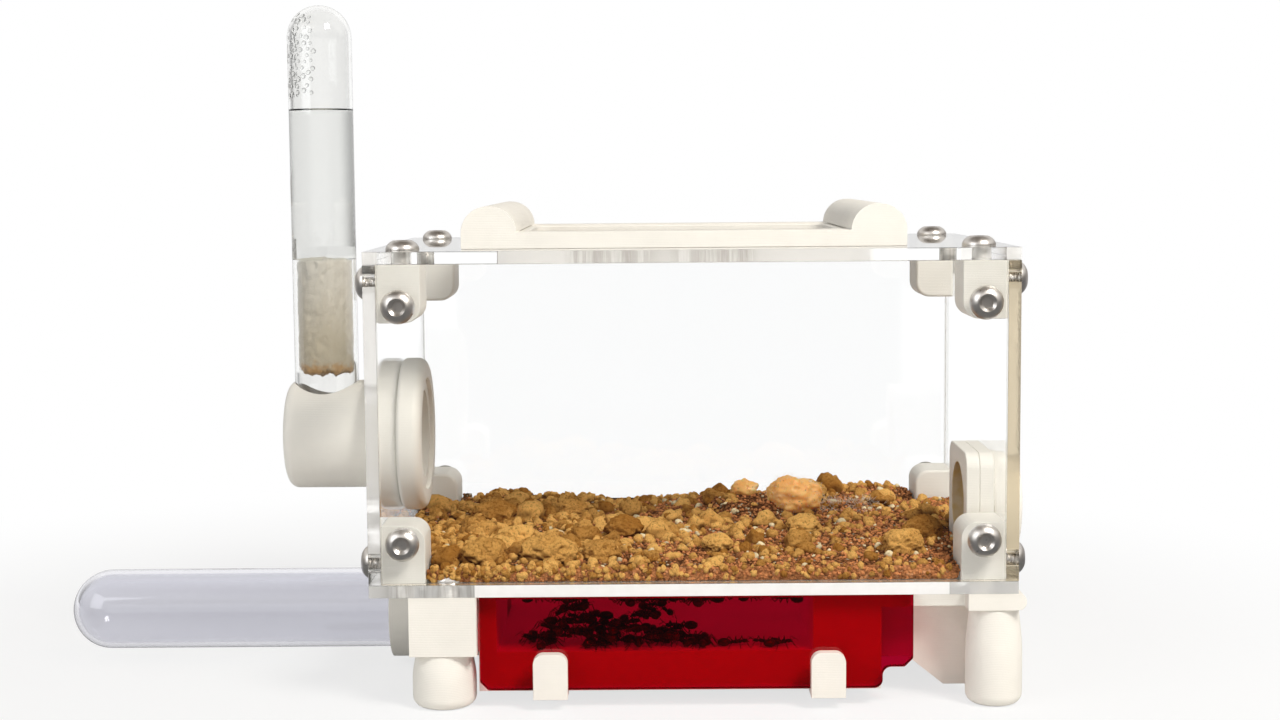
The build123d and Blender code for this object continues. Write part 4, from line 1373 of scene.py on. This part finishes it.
def crumb_tree():
    """Strews broken crumbs over a bed where a named weight allows it."""
    sizes = {
        "Density": 1000.0, "Smallest": 0.5 * MM, "Largest": 1.0 * MM,
        "Rarity of large ones": 2.2, "Weight name": "clods", "Facets": 2, "Seed": 1,
    }
    tree, given = start_tree("strewn_crumbs", sizes)
    seed = given["Seed"]
    kinds = node(tree, "GeometryNodeJoinGeometry")
    for i in range(4):
        inputs = {"Radius": 1.0, "Subdivisions": given["Facets"]}
        ball = result(tree, "GeometryNodeMeshIcoSphere", inputs)
        spot = result(tree, "GeometryNodeInputPosition")
        moved = vectors(tree, "ADD", spot, (17.0 * i, 5.0, 3.0 * i))
        inputs = {"Vector": moved, "Scale": 1.1, "Detail": 3.0}
        bumps = result(tree, "ShaderNodeTexNoise", inputs)
        shaped = vectors(tree, "SCALE", spot, times_plus(tree, bumps, 1.5, 0.2))
        ball = moved_to(tree, ball, position=shaped)
        ball = result(tree, "GeometryNodeGeometryToInstance", {"Geometry": ball})
        tree.links.new(ball, kinds.inputs[0])
    weight = attribute_of(tree, given["Weight name"])
    density = times(tree, given["Density"], weight)
    inputs = {"Mesh": given["Geometry"], "Density": density, "Seed": seed}
    points = result(tree, "GeometryNodeDistributePointsOnFaces", inputs)
    turn = spread(tree, (0, 0, 0), (6.28, 6.28, 6.28), seed, "FLOAT_VECTOR")
    turn = result(tree, "FunctionNodeEulerToRotation", {0: turn})
    chance = spread(tree, 0.0, 1.0, plus(tree, seed, 11.0))
    chance = reckon(tree, "POWER", chance, given["Rarity of large ones"])
    size = ramp(tree, chance, 0.0, 1.0, given["Smallest"], given["Largest"], False)
    size = reckon(tree, "MINIMUM", size, attribute_of(tree, "room"))
    flattest, fullest = (0.75, 0.75, 0.6), (1.15, 1.15, 1.0)
    uneven = spread(tree, flattest, fullest, plus(tree, seed, 23.0), "FLOAT_VECTOR")
    scale = vectors(tree, "SCALE", uneven, size)
    rise = vector_of(tree, z=times(tree, size, 0.15))
    points = moved_to(tree, points, offset=rise)
    which = spread(tree, 0, 3, plus(tree, seed, 5.0), "INT")
    pick = {"pick_instance": True, "instance_index": which}
    crumbs = on_points(tree, points, kinds.outputs[0], **pick, rotation=turn, scale=scale)
    return end_smooth(tree, crumbs, given["Material"])


def soil_base():
    """The bed, closed over the nest's screws and with an even mesh."""
    bed = broken_edges("soil_bed", "soil_base", 0.0)
    whole = bmesh.new()
    whole.from_mesh(bed.data)
    cover = {"radius1": 5.2 * MM, "radius2": 4.8 * MM, "depth": 3.4 * MM}
    for across, back, _ in screw_spots("nest_screws", (0, 0, 1)):
        made = bmesh.ops.create_cone(whole, cap_ends=True, segments=24, **cover)
        for v in made["verts"]:
            v.co += Vector((across, back, SOIL_LOW.z + 1.75 * MM))
            v.co.y = min(max(v.co.y, SOIL_LOW.y - 0.1 * MM), SOIL_HIGH.y + 0.1 * MM)
    whole.to_mesh(bed.data)
    whole.free()
    remesh = bed.modifiers.new("Even", "REMESH")
    remesh.mode, remesh.voxel_size = "VOXEL", 0.85 * MM
    return settle(bed)


def soil_shares(x, y, z, rim, top, ahead):
    """How much of each kind of crumb lies at a point of the bed, and the room it has there. Rim
    is the distance from the rim; top and ahead say if the point is on the top or in front."""
    beside = min(abs(x - SOIL_LOW.x), abs(x - SOIL_HIGH.x))
    corner = beside < 13.0 * MM and abs(y) > 31.0 * MM
    inside = 1.0 if top and rim > 0.5 * MM or ahead else 0.0
    deep = 1.0 if rim > 0.9 * MM and not corner else 0.0
    # from 1 at the ochre left to 0 at the reddish right
    left = 1.0 / (1.0 + exp((x - SOIL_LOW.x - 52.0 * MM) / (9.0 * MM)))
    right = 1.0 - left
    clumped = 0.5 + 0.5 * noise.noise(Vector((x, y, 0.0)) * 60.0)
    high_up = ahead and z > SOIL_LOW.z + 0.9 * MM
    far_row = 2.6 + 3.0 * right if SOIL_HIGH.y - y < 3.6 * MM else 1.0
    crumbs = 3.0 if high_up else inside * deep * far_row
    return {
        "clods": inside * deep * (0.2 + 0.8 * left) * (1.0 if rim > 2.4 * MM else 0.0),
        "crumbs": crumbs * (0.3 + 0.7 * left) * (0.5 + clumped),
        "grit": inside * max(0.3 + 0.7 * right, 1.1 if rim < 1.5 * MM else 0.0),
        "pebbles": inside * deep * (0.3 + 0.7 * right),
        "room": 0.95 * MM if ahead else max(0.72 * rim, 0.5 * MM),
    }


def soil_relief(mesh):
    """Raises the bed's relief and gives each of its points its shares of crumbs."""
    shares = []
    for v in mesh.vertices:
        x, y, z = v.co
        rim = min(x - SOIL_LOW.x, SOIL_HIGH.x - x, y - SOIL_LOW.y, SOIL_HIGH.y - y)
        top = v.normal.z > 0.6 and z > SOIL_LOW.z + 2.0 * MM
        ahead = v.normal.y < -0.6 and y < SOIL_LOW.y + 1.0 * MM
        shares.append(soil_shares(x, y, z, rim, top, ahead))
        if ahead:
            v.co.y += 1.0 * MM
        if top or y > 0.0 and v.normal.z > 0.2 and z > SOIL_LOW.z + 2.0 * MM:
            height = soil_height(x, y) * min(1.0, rim / (2.0 * MM) + 0.5)
            v.co.z = max(z + height, SOIL_LOW.z + 1.0 * MM)
    for name in shares[0]:
        values = [share[name] for share in shares]
        mesh.attributes.new(name, "FLOAT", "POINT").data.foreach_set("value", values)
    mesh.shade_smooth()
    return list(shares[0])


# the largest lumps lie where they were dropped: across the box, towards the back, length, depth
# and height, in millimetres
LUMPS = (
    (-48.5, -39.0, 5.6, 4.4, 4.3), (-34.0, -38.0, 6.6, 4.8, 4.5), (-41.5, -24.0, 5.0, 4.4, 4.0),
    (-21.5, -36.0, 4.4, 3.6, 3.5), (-50.0, 6.0, 6.0, 4.8, 4.6), (-16.5, -14.0, 4.6, 4.0, 3.8),
    (50.5, -31.0, 5.0, 4.2, 4.0), (57.5, -16.0, 5.2, 4.2, 3.9), (28.5, -6.0, 4.4, 4.0, 3.6),
    (6.0, -30.0, 3.8, 3.4, 3.2), (33.0, 27.0, 4.4, 3.8, 4.2), (-30.0, 12.0, 4.6, 4.0, 3.8),
)


def earth_lumps():
    """The largest lumps of earth, as one piece."""
    lumps = bmesh.new()
    for i, (across, back, long, deep, tall) in enumerate(LUMPS):
        x, y = BOX_X + across * MM, back * MM
        slope = (y - SOIL_LOW.y) / (SOIL_HIGH.y - SOIL_LOW.y) * 2.8 * MM
        z = SOIL_LOW.z + 3.4 * MM + slope + soil_height(x, y) + 0.3 * tall * MM
        radii = (long * MM, deep * MM, tall * MM)
        lumps.from_mesh(lump("lump", (x, y, z), radii, 1.5, 0.22, 5, 7.0 * i))
    return new_piece("earth_lumps", mesh_from("earth_lumps", lumps, 180.0))


class HABITAT_OT_soil(bpy.types.Operator):
    """Lays the substrate: the bed, ochre clods, reddish grit and pale pebbles."""

    bl_idname = "habitat.soil"
    bl_label = "Substrate"

    def execute(self, context):
        sizes = context.scene.habitat_sizes
        bed = soil_base()
        names = soil_relief(bed.data)
        tree = crumb_tree()
        seed = sizes.clod_seed
        # piece, weight, number on a square metre, smallest, largest, rarity of large ones,
        # facets and material
        small = sizes.clod * 0.42
        strewn = (
            ("large_clods", "clods", 30000.0, 1.5 * MM, sizes.clod, 2.4, 3, "ochre_clods"),
            ("ochre_crumbs", "crumbs", 280000.0, 0.55 * MM, small, 1.7, 2, "ochre_clods"),
            ("fine_grit", "grit", 800000.0, 0.3 * MM, sizes.grit, 1.3, 1, "red_grit"),
            ("pale_pebbles", "pebbles", 30000.0, 0.45 * MM, 1.3 * MM, 2.2, 2, "cream_pebbles"),
        )
        for i, (name, weight, density, low, high, rarity, facets, material) in enumerate(strewn):
            crumbs = new_piece(name, bed.data.copy())
            values = {
                "Density": density, "Smallest": low, "Largest": high, "Weight name": weight,
                "Rarity of large ones": rarity, "Facets": facets, "Seed": seed + 31 * i,
            }
            run_tree(crumbs, tree, {**values, "Material": finish(material)})
            dress(crumbs, None, "habitat")
        for name in names:
            bed.data.attributes.remove(bed.data.attributes[name])
        dress(earth_lumps(), "ochre_clods", "habitat")
        dress(bed, "soil_bed_mix", "habitat", ("soil_bed",))
        return {"FINISHED"}


def strand_tree():
    """Fine curved hairs on a surface."""
    sizes = {
        "Density": 1000.0, "Shortest": 0.5 * MM, "Longest": 2.0 * MM, "Hair radius": 0.04 * MM,
        "Lean": 0.6, "Seed": 1,
    }
    tree, given = start_tree("mould_hairs", sizes)
    seed = given["Seed"]
    inputs = {"Vertices": 3, "Side Segments": 4, "Radius": given["Hair radius"], "Depth": 1.0}
    hair = result(tree, "GeometryNodeMeshCylinder", inputs)
    hair = lifted(tree, hair, (0.0, 0.0, 0.5))
    inputs = {"Mesh": given["Geometry"], "Density": given["Density"], "Seed": seed}
    strewn = node(tree, "GeometryNodeDistributePointsOnFaces", inputs)
    off = spread(tree, (-1, -1, -1), (1, 1, 1), seed, "FLOAT_VECTOR")
    off = vectors(tree, "SCALE", off, given["Lean"])
    turn = aligned(tree, vectors(tree, "ADD", strewn.outputs["Normal"], off))
    reach = spread(tree, given["Shortest"], given["Longest"], plus(tree, seed, 3.0))
    scale = vector_of(tree, x=1.0, y=1.0, z=reach)
    hairs = realized(tree, on_points(tree, strewn.outputs[0], hair, rotation=turn, scale=scale))
    spot = result(tree, "GeometryNodeInputPosition")
    inputs = {"Vector": spot, "Scale": 520.0, "Detail": 1.0}
    sway = node(tree, "ShaderNodeTexNoise", inputs).outputs[1]
    sway = vectors(tree, "SUBTRACT", sway, (0.5, 0.5, 0.5))
    hairs = moved_to(tree, hairs, offset=vectors(tree, "SCALE", sway, 1.2 * MM))
    return end_tree(tree, smoothed(tree, hairs), given["Material"])


def lump(name, centre, radii, wave, rough, facets, seed):
    """A lumpy ball."""
    bm = bmesh.new()
    bmesh.ops.create_icosphere(bm, subdivisions=facets, radius=1.0)
    for v in bm.verts:
        spot = v.co * wave + Vector((seed, 0.0, seed * 2.0))
        bumps = noise.noise(spot) + 0.5 * noise.noise(spot * 2.6)
        bumps = bumps + 0.3 * noise.noise(spot * 6.0) + 0.14 * noise.noise(spot * 13.0)
        swell = 1.0 + rough * bumps
        v.co = Vector(v.co[i] * radii[i] * swell for i in range(3)) + Vector(centre)
    return mesh_from(name, bm, 180.0)


def morsel(name, place, radii, wave, rough, facets, seed):
    """A lumpy ball whose place, from the middle of the box, and radii are in millimetres."""
    centre = (BOX_X + place[0] * MM, place[1] * MM, place[2] * MM)
    radii = tuple(radius * MM for radius in radii)
    return new_piece(name, lump(name, centre, radii, wave, rough, facets, seed))


class HABITAT_OT_food(bpy.types.Operator):
    """Lays two morsels of fruit on the substrate, the larger one with mould."""

    bl_idname = "habitat.food"
    bl_label = "Food"

    def execute(self, context):
        large = morsel("fruit_morsel", (28.2, 16.0, 39.6), (7.0, 4.8, 5.0), 1.1, 0.24, 5, 3.0)
        small = morsel("dried_morsel", (15.6, 36.0, 38.6), (3.5, 2.2, 2.3), 1.3, 0.26, 4, 9.0)
        tree = strand_tree()
        fuzz = new_piece("mould_fuzz", large.data.copy())
        wisps = morsel("mould_wisps", (42.0, 18.0, 36.6), (9.0, 5.0, 1.0), 1.2, 0.3, 4, 5.0)
        # piece, hairs on a square metre, shortest, longest and radius in millimetres, lean, seed
        mould = (
            (fuzz, 0.9e6, 0.3, 1.2, 0.022, 0.8, 4),
            (wisps, 1.1e6, 0.6, 2.4, 0.025, 1.2, 8),
        )
        for piece, density, shortest, longest, radius, lean, seed in mould:
            values = {
                "Density": density, "Shortest": shortest * MM, "Longest": longest * MM,
                "Hair radius": radius * MM, "Lean": lean, "Seed": seed,
            }
            run_tree(piece, tree, {**values, "Material": finish("mould")})
        for piece, material in ((large, "fruit"), (small, "fruit"), (fuzz, None), (wisps, None)):
            dress(piece, material, "habitat")
        return {"FINISHED"}


# the abdomen, its stalk, the trunk, the neck and the head of an ant: place, radii and facets
ANT_BODY = (
    ((-2.7, 0.0, 1.05), (1.65, 1.05, 1.0), 2),
    ((-0.95, 0.0, 0.85), (0.3, 0.3, 0.45), 1),
    ((0.15, 0.0, 1.0), (0.95, 0.45, 0.5), 2),
    ((1.05, 0.0, 1.15), (0.62, 0.52, 0.52), 2),
    ((2.25, 0.0, 1.1), (0.78, 0.72, 0.5), 2),
)
# its legs: where each pair starts along the body, and how far it reaches
ANT_LEGS = ((1.1, 1.7), (0.45, 0.1), (-0.2, -2.0))


def ant_mesh():
    """One ant, 8 mm long, walking along X with its feet at height 0. Its sizes are in mm."""
    bm = bmesh.new()

    def bead(place, radii, facets):
        made = bmesh.ops.create_icosphere(bm, subdivisions=facets, radius=1.0)["verts"]
        for v in made:
            v.co = Vector((v.co[i] * radii[i] + place[i]) * MM for i in range(3))

    def limb(points, radius):
        points = [Vector(point) for point in points]
        last = len(points) - 1
        rings = []
        for i, here in enumerate(points):
            way = (points[min(i + 1, last)] - points[max(i - 1, 0)]).normalized()
            side = way.orthogonal().normalized()
            other = way.cross(side)
            wide = radius * (1.0 - 0.45 * i / last)
            turns = (0.0, pi / 2, pi, 3 * pi / 2)
            ring = [(here + (side * cos(a) + other * sin(a)) * wide) * MM for a in turns]
            rings.append([bm.verts.new(place) for place in ring])
        for low, high in zip(rings, rings[1:]):
            for i in range(4):
                bm.faces.new((low[i], low[(i + 1) % 4], high[(i + 1) % 4], high[i]))
        bm.faces.new(reversed(rings[0]))
        bm.faces.new(rings[-1])

    for place, radii, facets in ANT_BODY:
        bead(place, radii, facets)
    for side in (-1, 1):
        bead((3.0, 0.24 * side, 0.9), (0.36, 0.1, 0.12), 1)
        for root, reach in ANT_LEGS:
            hip = (root, 0.35 * side, 0.75)
            knee = (root + reach * 0.5, 1.6 * side, 1.9)
            ankle = (root + reach * 0.9, 2.6 * side, 0.5)
            limb([hip, knee, ankle, (root + reach * 1.15, 3.2 * side, 0.03)], 0.15)
        limb([(2.8, 0.3 * side, 1.3), (3.4, 0.95 * side, 1.9), (4.5, 0.9 * side, 1.2)], 0.09)
    bmesh.ops.recalc_face_normals(bm, faces=bm.faces)
    return mesh_from("ant", bm, 180.0)


def colony_tree():
    """Sets one ant on each point, turned and sized by the point's own values."""
    tree, given = start_tree("ant_colony", {"Ant": None, "Size": 1.0, "Seed": 2})
    inputs = {"Object": given["Ant"], "As Instance": True}
    ant = node(tree, "GeometryNodeObjectInfo", inputs).outputs["Geometry"]
    turn = attribute_of(tree, "turn", "FLOAT_VECTOR")
    turn = result(tree, "FunctionNodeEulerToRotation", {0: turn})
    scale = times(tree, given["Size"], spread(tree, 0.8, 1.12, given["Seed"]))
    ants = on_points(tree, given["Geometry"], ant, rotation=turn, scale=scale)
    return end_tree(tree, ants, given["Material"])


# single ants: across the chamber and back from its front in millimetres, heading and roll
SINGLE_ANTS = (
    (56.0, 4.5, 0.2, 0.0), (63.0, 5.5, 2.9, 0.0), (66.5, 3.8, 0.4, 0.0),
    (60.0, 4.6, 0.5, pi), (68.0, 5.2, 2.6, pi),
)


class HABITAT_OT_ants(bpy.types.Operator):
    """Fills the nest with its ants: a crowd at the left and single ants at the right."""

    bl_idname = "habitat.ants"
    bl_label = "Ants"

    def execute(self, context):
        floor, ceiling = 13.0 * MM, 25.5 * MM
        left, near = BOX_X - 46.0 * MM, -43.7 * MM
        spots, turns = [], []

        def stand(x, y, z, heading, roll=0.0):
            spots.append((x, y, z))
            turns.append((roll, 0.0, heading))

        def chance(i, k):
            return 0.5 + 0.5 * noise.cell(Vector((i + 0.5, k + 0.5, 0.5)))

        # a heap of ants on the floor, highest at two places
        for i in range(64):
            a, b, c = (chance(i, k) for k in (1, 2, 3))
            x, y = left + (7.0 + 42.0 * a) * MM, near + (3.0 + 8.0 * b) * MM
            heap = exp(-(((a - 0.25) / 0.16) ** 2)) + exp(-(((a - 0.68) / 0.2) ** 2))
            layer = min(int(c * 6.0 * heap), 5)
            heading = 6.283 * chance(i, 4)
            stand(x, y, floor + layer * 1.7 * MM, heading, 0.25 * (c - 0.5) * layer)
        # ants that hang from the ceiling
        for i in range(20):
            a, b = chance(i, 7), chance(i, 8)
            x, y = left + (8.0 + 50.0 * a) * MM, near + (3.0 + 9.0 * b) * MM
            stand(x, y, ceiling, 18.85 * a, pi)
        for across, back, heading, roll in SINGLE_ANTS:
            z = ceiling if roll else floor
            stand(left + across * MM, near + back * MM, z, heading, roll)
        mesh = bpy.data.meshes.new("ants")
        mesh.from_pydata(spots, [], [])
        turn = mesh.attributes.new("turn", "FLOAT_VECTOR", "POINT")
        turn.data.foreach_set("vector", [c for t in turns for c in t])
        colony = new_piece("ants", mesh)
        model = new_piece("ant_model", ant_mesh())
        values = {"Ant": model, "Size": 1.0, "Seed": 2, "Material": finish("ants")}
        run_tree(colony, colony_tree(), values)
        bpy.data.objects.remove(model)
        dress(colony, None, "habitat")
        return {"FINISHED"}


def drop_tree():
    """Flat beads of water on a wall."""
    sizes = {
        "Density": 1.0e6, "Apart": 0.8 * MM, "Smallest": 0.2 * MM, "Largest": 0.7 * MM, "Seed": 1
    }
    tree, given = start_tree("condensation", sizes)
    inputs = {
        "Mesh": given["Geometry"], "Distance Min": given["Apart"],
        "Density Max": given["Density"], "Seed": given["Seed"],
    }
    kind = "GeometryNodeDistributePointsOnFaces"
    strewn = node(tree, kind, inputs, distribute_method="POISSON")
    bead = result(tree, "GeometryNodeMeshIcoSphere", {"Radius": 1.0, "Subdivisions": 2})
    size = spread(tree, given["Smallest"], given["Largest"], given["Seed"])
    scale = vector_of(tree, x=size, y=size, z=times(tree, size, 0.4))
    turn = aligned(tree, strewn.outputs["Normal"])
    drops = on_points(tree, strewn.outputs[0], bead, rotation=turn, scale=scale)
    return end_smooth(tree, drops, given["Material"])


class HABITAT_OT_drops(bpy.types.Operator):
    """Sets condensed drops inside the top of the water tube."""

    bl_idname = "habitat.drops"
    bl_label = "Condensation"

    def execute(self, context):
        axis = (TUBE_LOW + TUBE_HIGH) / 2
        inner = (TUBE_HIGH.y - TUBE_LOW.y) / 2 - TUBE_WALL
        crown = TUBE_HIGH.z - 8.0 * MM
        # heights in millimetres from where the dome starts, each with the radius of the wall
        levels = [(-14.5 + 1.45 * i, inner) for i in range(11)]
        levels += [(inner / MM * sin(a), inner * cos(a)) for a in (0.3, 0.6, 0.8)]
        turns = [radians(158.0 + 11.0 * i) for i in range(11)]
        bm = bmesh.new()
        rows = []
        for height, radius in levels:
            z = crown + height * MM
            row = [(axis.x + radius * cos(a), axis.y + radius * sin(a), z) for a in turns]
            rows.append([bm.verts.new(place) for place in row])
        for low, high in zip(rows, rows[1:]):
            for i in range(10):
                bm.faces.new((low[i], high[i], high[i + 1], low[i + 1]))
        wall = new_piece("condensed_drops", mesh_from("condensed_drops", bm))
        values = {
            "Density": 1.6e6, "Apart": 1.4 * MM, "Smallest": 0.4 * MM, "Largest": 0.72 * MM,
            "Seed": 5, "Material": finish("water"),
        }
        run_tree(wall, drop_tree(), values)
        dress(wall, None, "filled_water_tube")
        return {"FINISHED"}


# ---------------------------------------------------------------- panel and running


OPERATORS = (
    HABITAT_OT_stage,
    HABITAT_OT_sheets,
    HABITAT_OT_brackets,
    HABITAT_OT_nest,
    HABITAT_OT_window,
    HABITAT_OT_lid,
    HABITAT_OT_vent,
    HABITAT_OT_feeder,
    HABITAT_OT_water_tube,
    HABITAT_OT_side_tube,
    HABITAT_OT_port,
    HABITAT_OT_screws,
    HABITAT_OT_soil,
    HABITAT_OT_food,
    HABITAT_OT_ants,
    HABITAT_OT_drops,
)


class HABITAT_PT_build(bpy.types.Panel):
    """Lists the sizes, the colours and the pieces."""

    bl_idname = "HABITAT_PT_build"
    bl_label = "Ant Habitat"
    bl_space_type = "VIEW_3D"
    bl_region_type = "UI"
    bl_category = "Ant Habitat"

    def draw(self, context):
        layout, scene = self.layout, context.scene
        for group in (scene.habitat_colours, scene.habitat_sizes, scene.habitat_stage):
            box = layout.box()
            for name in group.__annotations__:
                box.prop(group, name)
        for operator in OPERATORS:
            layout.operator(operator.bl_idname)


GROUPS = (HabitatColours, HabitatSizes, HabitatStage)


def register():
    for cls in (*GROUPS, *OPERATORS, HABITAT_PT_build):
        bpy.utils.register_class(cls)
    bpy.types.Scene.habitat_colours = PointerProperty(type=HabitatColours)
    bpy.types.Scene.habitat_sizes = PointerProperty(type=HabitatSizes)
    bpy.types.Scene.habitat_stage = PointerProperty(type=HabitatStage)


def unregister():
    del bpy.types.Scene.habitat_stage
    del bpy.types.Scene.habitat_sizes
    del bpy.types.Scene.habitat_colours
    for cls in reversed((*GROUPS, *OPERATORS, HABITAT_PT_build)):
        bpy.utils.unregister_class(cls)


def main():
    register()
    for operator in OPERATORS:
        family, call = operator.bl_idname.split(".")
        getattr(getattr(bpy.ops, family), call)()


if __name__ == "__main__":
    main()
